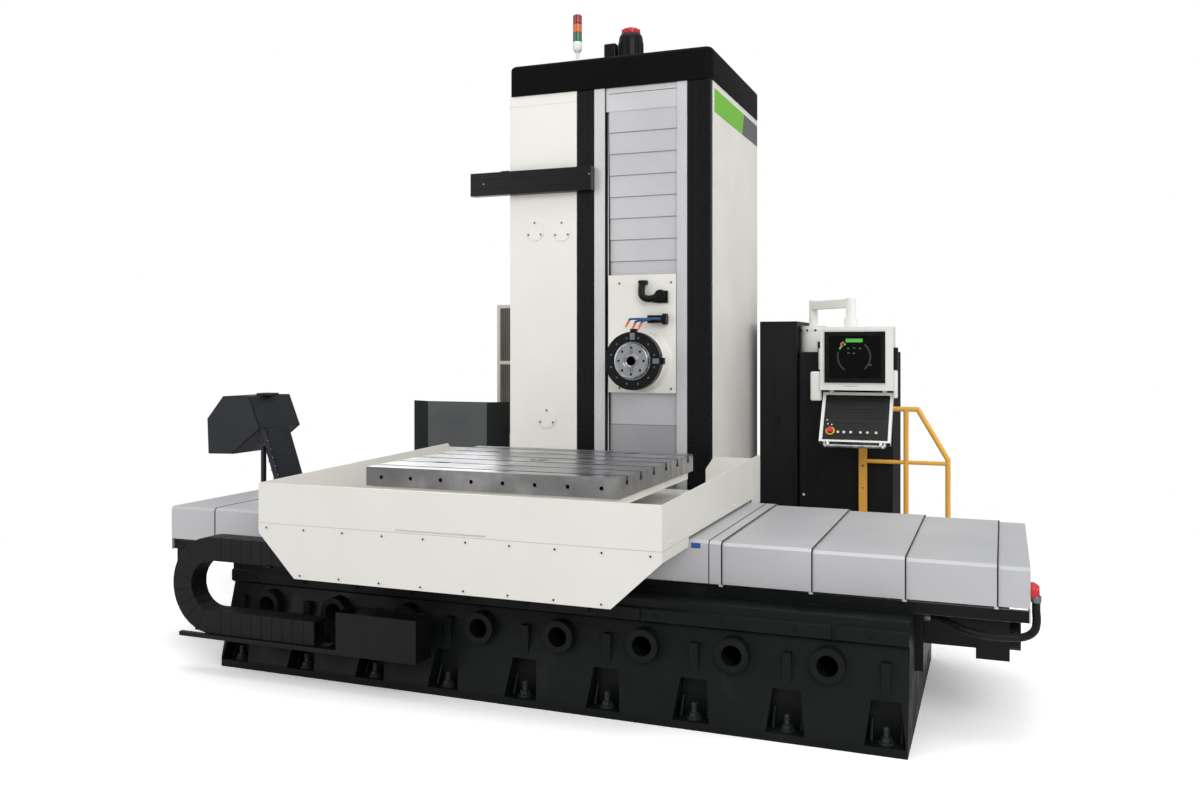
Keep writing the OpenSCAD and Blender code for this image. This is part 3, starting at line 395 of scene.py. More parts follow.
WHITE = SprayedEnamel("cream_white_enamel", "#EEECE6", 0.36, Slot.WHITE, second="#EBE9E2", peel_depth=0.12)
COLUMN_WHITE = SprayedEnamel("column_white_enamel", "#ECE9E4", 0.40, Slot.WHITE, second="#E6E3DD",
                             peel_depth=0.12)
HOUSING_WHITE = SprayedEnamel("panel_housing_enamel", "#F2F1EE", 0.30, Slot.WHITE, second="#EDECE9",
                              peel_mm=10, peel_depth=0.1)
HEAD_WHITE = SkirtedEnamel("head_white_enamel", "#EBEAE3", 0.36, Slot.WHITE, second="#E6E4DC",
                           peel_depth=0.12)
BLACK = SprayedEnamel("black_satin_enamel", "#0B0C0C", 0.36, Slot.BLACK, 0.22, second="#0F1010",
                      peel_depth=0.06)
CAP_BLACK = SprayedEnamel("cap_black_enamel", "#101010", 0.5, Slot.BLACK, 0.03, second="#121212",
                          peel_depth=0.03)
PAN_WHITE = SprayedEnamel("pan_white_enamel", "#E1DFD9", 0.40, Slot.WHITE, second="#DFDDD6", peel_depth=0.12)
TRIM_BLACK = SprayedEnamel("trim_black_enamel", "#0B0C0C", 0.30, Slot.BLACK, 0.2, second="#0F1010",
                           peel_depth=0.03)
BED = CastEnamel("bed_cast_enamel", "#101312", 0.46, Slot.BED, 0.16, bloom="#202321")
CAST = CastEnamel("saddle_cast_enamel", "#222424", 0.5, Slot.CAST, 0.3, bloom="#323434")
COVER = RolledSheet("cover_ground_sheet", "#C6C6C9", 0.48, Slot.COVER, along=(1, 40, 1), dull="#B8B9BB",
                    metal=0.32)
# painted shade: a darker copy of the shutter sheet for the shutters below the head, which lie in shade
SLAT_SHADED = RolledSheet("lower_shutter_painted_shade", "#B4B4B8", 0.44, Slot.COVER, along=(1, 1, 40), dull="#A8A8AC",
                       metal=0.5)
SLAT = RolledSheet("shutter_ground_sheet", "#D2D2D5", 0.44, Slot.COVER, along=(1, 1, 40), dull="#C6C6CA",
                   metal=0.5)
STRIP = RolledSheet("way_strip_aluminium", "#DCDCDE", 0.40, Slot.BRIGHT, along=(40, 1, 1), dull="#CFCFD2",
                    metal=0.5)
TABLE = GroundIron("table_ground_iron", "#9FA0A4", 0.26, Slot.TABLE, dull="#86878B")
STEEL = BrightSteel("bright_turned_steel", "#C9CBCE", 0.28, Slot.BRIGHT)
SCREW = BrightSteel("dulled_screw_steel", "#77797C", 0.42, Slot.BRIGHT)
EDGE = SprayedEnamel("slat_edge_shade", "#7C7C80", 0.6, Slot.COVER, 0.2, second="#76767A", peel_depth=0.02)
SEAM = SprayedEnamel("seam_shade_enamel", "#BDBAB2", 0.6, Slot.WHITE, second="#B6B3AB")
FOOT_SCREW = SprayedEnamel("foot_screw_blackened", "#1D1F20", 0.4, Slot.BRIGHT, 0.4, second="#26282A",
                           peel_depth=0.03)
# painted shade: a darker, duller copy of the cabinet enamel for the side face, which turns from the light
CABINET_SHADED_SIDE = SprayedEnamel("cabinet_side_painted_shade", "#050606", 0.6, Slot.CABINET, 0.05, second="#070808",
                             peel_mm=7, peel_depth=0.12)
CABINET = SprayedEnamel("cabinet_textured_enamel", "#121514", 0.45, Slot.CABINET, 0.22, second="#161918",
                        peel_mm=7, peel_depth=0.12)
GUARD = SprayedEnamel("guard_black_enamel", "#17191A", 0.5, Slot.SCREEN, 0.25, second="#1C1E1F")
GUARD_SHEET = SprayedEnamel("guard_grey_enamel", "#595C5D", 0.42, Slot.SCREEN, 0.4, second="#4B4E4F")
DECK = SprayedEnamel("deck_grey_enamel", "#6A6C6D", 0.55, Slot.DECK, second="#606263")
YELLOW = SprayedEnamel("rail_yellow_enamel", "#F0B64A", 0.42, Slot.YELLOW, second="#E8AB40", peel_mm=8,
                       peel_depth=0.1)
HOOD = SprayedEnamel("hood_blue_black_enamel", "#1B1F25", 0.5, Slot.BLACK, 0.3, second="#20242A", peel_mm=7,
                     peel_depth=0.15)
CREAM = SprayedEnamel("cooler_cream_enamel", "#DEDBD0", 0.42, Slot.WHITE, second="#D5D2C6")
GRILLE = SprayedEnamel("grille_umber_enamel", "#8C877C", 0.5, Slot.WHITE, second="#7C776C")
CHAIN = Moulded("carrier_glass_nylon", "#0E0E0F", 0.5, Slot.CHAIN, 0.22)
RUBBER = Moulded("hose_black_rubber", "#0E0E0E", 0.36, Slot.RUBBER, 0.35)
LIP = Moulded("wiper_black_rubber", "#161617", 0.6, Slot.RUBBER, 0.25)
KEY = Moulded("key_black_plastic", "#17181A", 0.5, Slot.BLACK, 0.3, grain_mm=2)
KEY_FACE = Moulded("key_field_black_film", "#0D0E10", 0.4, Slot.BLACK, 0.3, grain_mm=3)
BLUE = Moulded("coolant_blue_acetal", "#1F4F80", 0.35, Slot.BLUE)
ORANGE = Moulded("coolant_orange_acetal", "#E4704F", 0.38, Slot.BLUE)
RED = Moulded("red_gloss_plastic", "#C8202A", 0.3, Slot.RED)
YELLOW_PLASTIC = Moulded("yellow_gloss_plastic", "#E8B32A", 0.35, Slot.YELLOW)
BUTTON = Moulded("button_white_plastic", "#D9D9D6", 0.35, Slot.WHITE)
GREEN_FIELD = SprayedEnamel("side_field_green", "#6FBE12", 0.4, Slot.WHITE, second="#6ABA10")
GREY_FIELD = SprayedEnamel("side_field_grey", "#5C5B5E", 0.42, Slot.BLACK, second="#565558")
BLUE_FIELD = SprayedEnamel("cover_field_blue", "#2A4C9A", 0.45, Slot.BLUE, second="#26468F")
GLASS = Moulded("screen_black_glass", "#050507", 0.15, Slot.BLACK, 0.15, grain_depth=0.0)
LENS_RED = Lens("lamp_lens_red", "#8E1524", 0.25, Slot.LAMP)
LENS_AMBER = Lens("lamp_lens_amber", "#D75F1E", 0.25, Slot.LAMP)
LENS_GREEN = Lens("lamp_lens_green", "#07634A", 0.25, Slot.LAMP)
SCREEN_GREEN = Lens("screen_field_green", "#4FB043", 0.4, Slot.LAMP, glow=0.22)
SCREEN_RED = Lens("screen_field_red", "#C8402E", 0.4, Slot.LAMP, glow=0.4)
SCREEN_GREY = Lens("screen_field_grey", "#3A3D42", 0.4, Slot.LAMP, glow=0.05)
SCREEN_DIM = Lens("screen_field_dim", "#15171A", 0.4, Slot.LAMP, glow=0.02)


# ---------------------------------------------------------------------------
# Mesh building
# ---------------------------------------------------------------------------


class Shape:
    """A mesh being built, in millimetres of the model's frame."""

    def __init__(self) -> None:
        """Start with no faces."""
        self.bm = bmesh.new()

    def _take(self, verts: Iterable[bmesh.types.BMVert], turn: Optional[Matrix]) -> None:
        """Move new vertices by turn."""
        if turn is not None:
            bmesh.ops.transform(self.bm, matrix=turn, verts=list(verts))

    def box(self, low: Point, high: Point, turn: Optional[Matrix] = None) -> "Shape":
        """Add a block from its low corner to its high corner.

        Args:
            low: Lowest corner.
            high: Highest corner.
            turn: Matrix that moves it after it is made.

        Returns:
            This shape.
        """
        made = bmesh.ops.create_cube(self.bm, size=1)["verts"]
        for v in made:
            v.co = Vector(l + (h - l) * (c + 0.5) for l, h, c in zip(low, high, v.co))
        self._take(made, turn)
        return self

    def prism(self, outline: Sequence[Flat], axis: Axis, start: float, end: float,
              turn: Optional[Matrix] = None) -> "Shape":
        """Draw a flat outline out along an axis.

        Args:
            outline: Corners; the two numbers are along the other two axes, in the order X, Y, Z.
            axis: Axis to draw it out along.
            start: Where it starts on that axis.
            end: Where it ends.
            turn: Matrix that moves it after it is made.

        Returns:
            This shape.
        """
        def corner(p: Flat, at: float) -> Vector:
            values = list(p)
            values.insert(axis.value, at)
            return Vector(values)
        low = [self.bm.verts.new(corner(p, start)) for p in outline]
        high = [self.bm.verts.new(corner(p, end)) for p in outline]
        self.bm.faces.new(low)
        self.bm.faces.new(high[::-1])
        for i in range(len(outline)):
            j = (i + 1) % len(outline)
            self.bm.faces.new((low[i], high[i], high[j], low[j]))
        self._take(low + high, turn)
        return self

    def loft(self, rings: Sequence[Sequence[Point]]) -> "Shape":
        """Skin closed outlines that have equal numbers of corners, and close both ends.

        Args:
            rings: Outlines in order.

        Returns:
            This shape.
        """
        made = [[self.bm.verts.new(Vector(p)) for p in ring] for ring in rings]
        for one, two in zip(made, made[1:]):
            for k in range(len(one)):
                j = (k + 1) % len(one)
                self.bm.faces.new((one[k], one[j], two[j], two[k]))
        self.bm.faces.new(made[0])
        self.bm.faces.new(made[-1])
        return self

    def lathe(self, profile: Sequence[Flat], origin: Point, along: Point, sides: int = 32,
              turn: Optional[Matrix] = None) -> "Shape":
        """Turn a profile about an axis.

        Args:
            profile: (radius, distance along the axis); a radius of 0 closes an end.
            origin: Start of the axis.
            along: Direction of the axis.
            sides: Number of sides.
            turn: Matrix that moves it after it is made.

        Returns:
            This shape.
        """
        spin = Vector(UP).rotation_difference(Vector(along)).to_matrix()
        rings, fresh = [], []
        for radius, at in profile:
            count = 1 if radius == 0 else sides
            ring = []
            for k in range(count):
                a = 2 * math.pi * k / sides
                spot = Vector((radius * math.cos(a), radius * math.sin(a), at))
                ring.append(self.bm.verts.new(Vector(origin) + spin @ spot))
            rings.append(ring)
            fresh += ring
        for one, two in zip(rings, rings[1:]):
            for k in range(sides):
                j = (k + 1) % sides
                if len(one) == 1 and len(two) == 1:
                    continue
                if len(one) == 1:
                    self.bm.faces.new((one[0], two[j], two[k]))
                elif len(two) == 1:
                    self.bm.faces.new((one[k], one[j], two[0]))
                else:
                    self.bm.faces.new((one[k], one[j], two[j], two[k]))
        for ring in (rings[0], rings[-1]):
            if len(ring) > 1:
                self.bm.faces.new(ring)
        self._take(fresh, turn)
        return self

    def rod(self, start: Point, end: Point, radius: float, sides: int = 24) -> "Shape":
        """Add a round bar between two points."""
        along = Vector(end) - Vector(start)
        return self.lathe(disc(radius, along.length), start, tuple(along), sides)

    def tube(self, path: Sequence[Point], radius: float, sides: int = 16,
             turn: Optional[Matrix] = None) -> "Shape":
        """Sweep a round section along a path, with closed ends.

        Args:
            path: Points of the centre line.
            radius: Radius of the section.
            sides: Number of sides.
            turn: Matrix that moves it after it is made.

        Returns:
            This shape.
        """
        points = [Vector(p) for p in path]
        rings, side, fresh = [], None, []
        for i, p in enumerate(points):
            ahead = (points[min(i + 1, len(points) - 1)] - points[max(i - 1, 0)]).normalized()
            if side is None:
                side = ahead.orthogonal().normalized()
            side = (side - ahead * side.dot(ahead)).normalized()
            up = ahead.cross(side)
            ring = [self.bm.verts.new(p + radius * (math.cos(a) * side + math.sin(a) * up))
                    for a in (2 * math.pi * k / sides for k in range(sides))]
            rings.append(ring)
            fresh += ring
        for one, two in zip(rings, rings[1:]):
            for k in range(sides):
                self.bm.faces.new((one[k], one[(k + 1) % sides], two[(k + 1) % sides], two[k]))
        self.bm.faces.new(rings[0])
        self.bm.faces.new(rings[-1])
        self._take(fresh, turn)
        return self

    def make(self, name: str, finish: Finish, body: str, bevel: float = 0, segments: int = 2,
             crease: float = 35) -> bpy.types.Object:
        """Turn the shape into a piece that rides on a body.

        Args:
            name: Name of the piece.
            finish: Its surface.
            body: Body it moves with.
            bevel: Width of the rounded edges in mm, 0 for none.
            segments: Segments across a rounded edge.
            crease: Edges sharper than this many degrees stay sharp.

        Returns:
            The new object.
        """
        bmesh.ops.recalc_face_normals(self.bm, faces=self.bm.faces)
        bmesh.ops.scale(self.bm, vec=(MM, MM, MM), verts=self.bm.verts)
        for face in self.bm.faces:
            face.smooth = True
        for edge in self.bm.edges:
            if len(edge.link_faces) == 2 and edge.calc_face_angle(0) > math.radians(crease):
                edge.smooth = False
        mesh = bpy.data.meshes.new(name)
        self.bm.to_mesh(mesh)
        self.bm.free()
        piece = bpy.data.objects.new(name, mesh)
        bpy.context.scene.collection.objects.link(piece)
        mesh.materials.append(finish.build())
        if bevel:
            round_edges(piece, bevel, segments)
        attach(piece, body)
        LOG.info("piece %s on %s", name, body)
        return piece


def round_edges(piece: bpy.types.Object, width: float, segments: int = 2, weld: bool = False) -> None:
    """Round a piece's edges with modifiers and even out its shading.

    Args:
        piece: Mesh object.
        width: Width of the rounding in mm.
        segments: Segments across each edge.
        weld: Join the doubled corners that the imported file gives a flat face.
    """
    if weld:
        join = piece.modifiers.new("weld_corners", "WELD")
        join.merge_threshold = WELD_DISTANCE
    cut = piece.modifiers.new("rounded_edges", "BEVEL")
    cut.width = width * MM
    cut.segments = segments
    cut.limit_method = "ANGLE"
    cut.angle_limit = math.radians(EDGE_ANGLE)
    cut.use_clamp_overlap = True
    cut.miter_outer = "MITER_ARC"
    even = piece.modifiers.new("even_normals", "WEIGHTED_NORMAL")
    even.keep_sharp = False
    even.weight = FACE_WEIGHT


def about(origin: Point, axis: str, degrees: float) -> Matrix:
    """Return a turn by degrees about an axis through origin."""
    there = Matrix.Translation(Vector(origin))
    return there @ Matrix.Rotation(math.radians(degrees), 4, axis) @ there.inverted()


def corners(node: str) -> tuple[Vector, Vector]:
    """Return a node's low and high corners in millimetres."""
    low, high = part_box(node)
    return low / MM, high / MM


def curve_through(points: Sequence[Point], steps: int = 6) -> list[Point]:
    """Return a smooth path through points.

    Args:
        points: Points that the path passes.
        steps: New points in each stretch.

    Returns:
        The denser path.
    """
    p = [Vector(q) for q in points]
    p = [p[0] * 2 - p[1]] + p + [p[-1] * 2 - p[-2]]
    out = []
    for i in range(1, len(p) - 2):
        for s in range(steps):
            t = s / steps
            a, b, c, d = p[i - 1], p[i], p[i + 1], p[i + 2]
            square, cube = 2 * a - 5 * b + 4 * c - d, 3 * b - a - 3 * c + d
            out.append(tuple(0.5 * (2 * b + (c - a) * t + square * t * t + cube * t ** 3)))
    out.append(tuple(p[-2]))
    return out


def rounded(low: Flat, high: Flat, radius: float, z: float, steps: int = 6) -> list[Point]:
    """Return a level rectangle with rounded corners.

    Args:
        low: Lowest X and Y.
        high: Highest X and Y.
        radius: Radius of the corners.
        z: Height of the rectangle.
        steps: Parts that each corner is cut into.

    Returns:
        Its corners in order.
    """
    out = []
    x0, y0, x1, y1 = low[0] + radius, low[1] + radius, high[0] - radius, high[1] - radius
    centres = ((x1, y1), (x0, y1), (x0, y0), (x1, y0))
    for quarter, (x, y) in enumerate(centres):
        for k in range(steps + 1):
            a = math.pi / 2 * (quarter + k / steps)
            out.append((x + radius * math.cos(a), y + radius * math.sin(a), z))
    return out


def pillow(low: Point, high: Point, radius: float, edge: float, steps: int = 5) -> list[list[Point]]:
    """Return outlines of a level block with rounded corners and rounded top and bottom edges.

    Args:
        low: Lowest corner.
        high: Highest corner.
        radius: Radius of the upright corners.
        edge: Radius of the top and bottom edges.
        steps: Parts that each rounding is cut into.

    Returns:
        Outlines from the bottom up.
    """
    rings = []
    for side, z0 in ((-1, low[2]), (1, high[2])):
        for k in range(steps + 1):
            a = math.pi / 2 * (k if side > 0 else steps - k) / steps
            inset = edge * (1 - math.cos(a))
            z = z0 - side * edge + side * edge * math.sin(a)
            near, far = (low[0] + inset, low[1] + inset), (high[0] - inset, high[1] - inset)
            rings.append(rounded(near, far, max(radius - inset, 1), z))
    return rings


def around(centre: Flat, radius: float, degrees: float) -> Flat:
    """Return the point at an angle on a circle about centre."""
    a = math.radians(degrees)
    return centre[0] + radius * math.cos(a), centre[1] + radius * math.sin(a)


def circle(centre: Flat, radius: float, count: int, start: float = 0) -> list[Flat]:
    """Return points spaced evenly on a circle.

    Args:
        centre: Centre of the circle.
        radius: Its radius.
        count: Number of points.
        start: Degrees of the first point.

    Returns:
        The points in order.
    """
    return [around(centre, radius, start + 360 * k / count) for k in range(count)]


def disc(radius: float, height: float) -> list[Flat]:
    """Return the profile of a plain disc for Shape.lathe."""
    return [(0, 0), (radius, 0), (radius, height), (0, height)]


def capped(radius: float, shoulder: float, crown: float, top: float) -> list[Flat]:
    """Return the profile of a round head that narrows from its shoulder to the crown on top."""
    return [(0, 0), (radius, 0), (radius, shoulder), (crown, top), (0, top)]


def hoop(inner: float, outer: float, height: float) -> list[Flat]:
    """Return the closed profile of a flat ring for Shape.lathe."""
    return [(inner, 0), (outer, 0), (outer, height), (inner, height), (inner, 0)]


def ridge(middle: float, half: float, slope: float, back: float, front: float) -> list[Flat]:
    """Return the level section of an upright ridge with sloped flanks, in X and Y."""
    left, right = middle - half, middle + half
    return [(left, back), (left + slope, front), (right - slope, front), (right, back)]


def screw_heads(shape: Shape, places: Iterable[Point], along: Point, radius: float = 7,
                height: float = 4) -> Shape:
    """Add button-head screws with a recess.

    Args:
        shape: Shape that gets them.
        places: Points on the surface under each head.
        along: Direction that the heads face.
        radius: Radius of a head.
        height: Height of a head.

    Returns:
        The shape.
    """
    crown, recess = radius * 0.75, radius * 0.45
    profile = [(0, 0), (radius, 0), (radius, height * 0.5), (crown, height), (recess, height),
               (recess, height * 0.3), (0, height * 0.3)]
    for place in places:
        shape.lathe(profile, place, along, 12)
    return shape


# ---------------------------------------------------------------------------
# Sub-assemblies
# ---------------------------------------------------------------------------


@dataclass
class SolidFinishes:
    """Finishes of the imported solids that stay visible, with the rounding of their edges in mm."""

    table: dict[str, tuple[Finish, float, int]] = field(default_factory=lambda: {
        "front_bed": (BED, 9, 3), "rear_bed": (BED, 6, 2), "levelling_bolts": (FOOT_SCREW, 2, 1),
        "x_rails": (STEEL, 2, 1), "y_rails": (STEEL, 2, 1), "x_ballscrew": (STEEL, 1, 1),
        "y_ballscrew": (STEEL, 1, 1), "z_ballscrew": (STEEL, 1, 1), "x_drive": (BLACK, 4, 2),
        "cable_tray": (BLACK, 2, 1), "cable_carrier": (CHAIN, 3, 2), "saddle": (CAST, 5, 2),
        "chip_pan": (PAN_WHITE, 2, 2), "pan_screws": (PAN_WHITE, 2, 2), "table_skirt": (WHITE, 1, 1),
        "rotary_table": (TABLE, 1.2, 2), "covers_inner": (COVER, 1, 1), "covers_end": (COVER, 1, 1),
        "column": (COLUMN_WHITE, 4, 2), "column_panel": (WHITE, 3, 2), "column_trim": (TRIM_BLACK, 8, 3),
        "way_strips": (STRIP, 1, 1), "side_beam": (BLACK, 3, 2), "access_plates": (WHITE, 1.5, 2),
        "spindle_head": (HEAD_WHITE, 3, 2), "nose_ring": (BLACK, 3, 2), "cabinet": (CABINET, 3, 2),
        "cabinet_door": (CABINET, 2, 2), "pendant_arm": (HOUSING_WHITE, 3, 2),
        "operator_panel": (HOUSING_WHITE, 8, 3), "keyboard_panel": (HOUSING_WHITE, 3, 2),
        "estop": (RED, 4, 3), "railing": (YELLOW, 1, 1), "platform": (DECK, 2, 1),
        "guard_screen": (GUARD, 1, 1), "cooling_cabinet": (CREAM, 3, 2), "conveyor": (HOOD, 3, 2),
        "coolant_lines": (BLUE, 1, 1),
    })
    turned: tuple[str, ...] = ("spindle", "boring_spindle")

    def dress(self, spin: Flat) -> None:
        """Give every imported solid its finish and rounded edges.

        Args:
            spin: X and Z of the spindle axis in mm.
        """
        rings = TurnedSteel("spindle_turned_steel", "#CED0D3", 0.25, Slot.BRIGHT, centre=spin)
        plan = dict(self.table)
        for name in self.turned:
            plan[name] = (rings, 1.5, 2)
        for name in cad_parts:
            if name.startswith("cover_"):
                plan[name] = (COVER, 1, 1)
            if name.startswith("shutter_"):
                # the shutters below the head take the darker copy of the sheet, which paints their shade
                plan[name] = (SLAT_SHADED if name.startswith("shutter_d") else SLAT, 0.8, 1)
        for name, (finish, width, segments) in plan.items():
            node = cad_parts[name]
            material = finish.build()
            if not node.material_slots:
                node.data.materials.append(material)
            for held in node.material_slots:
                held.material = material
            round_edges(node, width, segments, weld=True)
            LOG.info("solid %s in %s", name, finish.name)


@dataclass
class BedDetail:
    """Cheeks and threads of the levelling pockets, and the screws along the ledge of the front bed."""

    pitch: float = 495
    pockets: int = 9
    cheek_out: float = 74
    cheek_half: float = 9
    screw_back: float = 66
    threads: tuple[float, ...] = (96, 102, 108, 114)
    ledge_corner: float = 2060

    def build(self) -> None:
        """Make the pieces on the front bed."""
        low, _ = corners("front_bed")
        front, screw = low.y, low.y + self.screw_back
        wedge = [(front + 62, 44), (front + 122, 44), (front + 122, 150), (front + 112, 150)]
        cheeks, nuts = Shape(), Shape()
        for i in range(self.pockets):
            x = (i - self.pockets // 2) * self.pitch
            for middle in (x - self.cheek_out, x + self.cheek_out):
                cheeks.prism(wedge, Axis.X, middle - self.cheek_half, middle + self.cheek_half)
            nuts.lathe(capped(17, 30, 13, 34), (x, screw, 92), UP, 16)
            for z in self.threads:
                nuts.lathe([(16, 0), (18.4, 1.5), (16, 3)], (x, screw, z), UP, 16)
        cheeks.make("bed_pocket_cheeks", BED, "frame", 5, 2)
        nuts.make("bed_screw_threads", FOOT_SCREW, "frame")
        ledge = Shape()
        for x in (-self.ledge_corner, self.ledge_corner):
            ledge.box((x - 14, -918, 604), (x + 14, -905, 632))
        screw_heads(ledge, [(x, -936, 556) for x in range(-1900, 2000, 380)], FRONT, 13, 8)
        ledge.make("bed_ledge_screws", BED, "frame", 1.5, 1)


@dataclass
class CoverDetail:
    """Lips of the sliding sections and a band of painted shade at the fold, a colour patch, dark sheets on
    the bars and the end fitting.
    """

    half: float = 761
    top: float = 956
    low: float = 713
    step: float = 8
    lip: float = 7
    fold_back: float = 78
    fold: float = 5
    end_plate: float = 42

    def _lip(self, k: int, start: float, end: float) -> Shape:
        """Return the lip that runs over section k and down both walls, from start to end along X."""
        w, t, out, fold = self.half - k * self.step, self.top - k * self.step, 1.6, 16
        outer = [(-w - out, self.low), (-w - out, t - fold), (-w + fold, t + out)]
        outer += [(w - fold, t + out), (w + out, t - fold), (w + out, self.low)]
        w, t = w - 1, t - 1
        inner = [(w, self.low), (w, t - fold), (w - fold, t), (-w + fold, t), (-w, t - fold), (-w, self.low)]
        return Shape().prism(outer + inner, Axis.X, start, end)

    def build(self) -> None:
        """Make the lips, the band of painted shade at the fold, the plain blue patch, the dark bar sheets
        and the red fitting.
        """
        rows = (("covers_inner", "saddle", 1, 1), ("cover_r2", "cover_r2", 2, 1),
                ("cover_r3", "cover_r3", 3, 1), ("cover_r4", "cover_r4", 4, 1),
                ("cover_l2", "cover_l2", 1, -1), ("cover_l3", "cover_l3", 2, -1))
        for node, body, k, side in rows:
            low, high = corners(node)
            end = high.x if side > 0 else low.x
            inside = end - side * self.lip
            self._lip(k, min(end, inside), max(end, inside)).make(node + "_lip", LIP, body)
        low, high = corners("covers_inner")
        self._lip(0, low.x, low.x + self.lip).make("covers_inner_left_lip", LIP, "saddle")
        # painted shade: a dark band across the inner section stands in for the shade in its fold
        fold = high.x - self.fold_back
        self._lip(1, fold, fold + self.fold).make("covers_inner_fold_shade", LIP, "saddle")
        wall = self.step - self.half
        patch = Shape().box((912, wall - 1.2, 903), (966, wall + 1, 933))
        patch.make("cover_blue_patch", BLUE_FIELD, "saddle", 1, 1)
        low, high = corners("covers_end")
        self._dark_bar_sheets(low.x, high.x - self.end_plate)
        self._fitting(high.x - self.end_plate)

    def _dark_bar_sheets(self, start: float, end: float) -> None:
        """Make dark sheets round the bars that carry the end section, so that the bars show dark below the
        covers.

        Args:
            start: Left end of the bars in X.
            end: Left face of the end plate in X.
        """
        _, last = corners("cover_r4")
        outer, sheet, width, foot, ledge = 717, 1.8, 25, 641, 699.8
        dark_sheets = Shape()
        for y in (-outer, outer - sheet):
            dark_sheets.box((start + 2, y, foot), (end, y + sheet, ledge))
        dark_sheets.box((last.x + 140, -outer, ledge), (end, sheet - outer, 716))
        for y in (-outer, outer - width):
            dark_sheets.box((end - 1, y, foot), (end + 0.6, y + width, ledge))
        dark_sheets.box((start - 0.6, -outer, foot), (start + 1, width - outer, ledge))
        dark_sheets.box((start + 29, 1 - outer, 559), (start + 111, -664, foot))
        dark_sheets.make("cover_bar_dark_sheets", BED, "frame")

    def _fitting(self, face: float) -> None:
        """Make the red fitting with its six bolts on the end plate, whose face is at X."""
        y, z = -690, 800
        profile = [(0, 0), (40, 0), (42, 4), (42, 20), (34, 24), (34, 32), (27, 36), (27, 41), (0, 41)]
        fitting = Shape().lathe(profile, (face, y, z), RIGHT, 24)
        for across, up in circle((y, z), 34, 6):
            fitting.rod((face + 18, across, up), (face + 28, across, up), 5, 8)
        fitting.make("cover_end_red_fitting", RED, "frame", 1, 1)


@dataclass
class PanDetail:
    """Seam shadow, dark shell of the carrier's hanger, screw sockets and floor sheets of the chip pan."""

    joint: float = 970
    sheet: float = 292

    def build(self) -> None:
        """Make the pieces on the pan."""
        low, high = corners("chip_pan")
        below, above = self.joint - 1.6, self.joint + 1.4
        seam = Shape().box((low.x + 2, low.y - 0.8, below), (high.x - 2, low.y + 1, above))
        seam.box((high.x - 1, low.y + 2, below), (high.x + 0.8, -780, above))
        seam.make("pan_seam_shadow", SEAM, "saddle")
        self._hanger(low.x)
        sockets = Shape()
        for count, first, pitch, z in ((10, 60, 266.6, self.joint - 26), (8, 300, 270, 676)):
            for i in range(count):
                sockets.lathe(disc(6.5, 0.8), (low.x + first + i * pitch, low.y - 5.2, z), FRONT, 6)
        sockets.make("pan_screw_sockets", LIP, "saddle")
        floor = Shape()
        for x in (low.x + 8, high.x - 8 - self.sheet):
            floor.box((x, -800, 972.5), (x + self.sheet, 800, 976))
        floor.make("pan_floor_sheets", WHITE, "saddle", 1, 1)

    def _hanger(self, left: float) -> None:
        """Make the thin dark shell round the plate that the cable carrier is fixed to.

        Args:
            left: Left side of the pan in X.
        """
        start, end, front, back, foot, bend, top = left + 9.2, left + 50.8, -1211, -1050, 691, 699.8, 930
        sheet, plate = 0.8, 8
        shell = Shape().box((start, front, foot), (end, back, foot + 1))
        shell.box((start, front, foot), (end, front + 1, 699.5))
        for x in (left + 9, left + 50.2):
            shell.box((x, front, foot), (x + sheet, back, 699.5))
            shell.box((x, back - plate, 699.5), (x + sheet, back, top))
        shell.box((start, front, bend), (end, -1198.6, bend + sheet))
        for y in (back - plate, back - sheet):
            shell.box((start, y, bend), (end, y + sheet, top))
        shell.make("carrier_hanger_shell", BLACK, "saddle")


@dataclass
class TableDetail:
    """Ring and bolts round the centre bore, and rims of the edge holes of the rotary table."""

    bolts: int = 6
    bolt_circle: float = 62
    holes: int = 8
    first_hole: float = -735
    hole_pitch: float = 210
    hole_drop: float = 62

    def build(self) -> None:
        """Make the pieces on the table."""
        low, high = corners("rotary_table")
        cx, cy, top = (low.x + high.x) / 2, (low.y + high.y) / 2, high.z
        profile = [(74, -18), (74, -2), (72, -0.5), (52, -0.5), (50, -3), (50, -18)]
        Shape().lathe(profile, (cx, cy, top), UP, 48).make("table_centre_ring", STEEL, "table")
        bolts = Shape()
        for x, y in circle((cx, cy), self.bolt_circle, self.bolts):
            bolts.lathe(disc(5, 2), (x, y, top - 1), UP, 12)
        bolts.make("table_centre_bolts", LIP, "table")
        holes = Shape()
        for i in range(self.holes):
            x = cx + self.first_hole + i * self.hole_pitch
            holes.lathe(hoop(12, 17, 1.2), (x, low.y, top - self.hole_drop), FRONT, 24)
        holes.make("table_hole_rims", TABLE, "table")


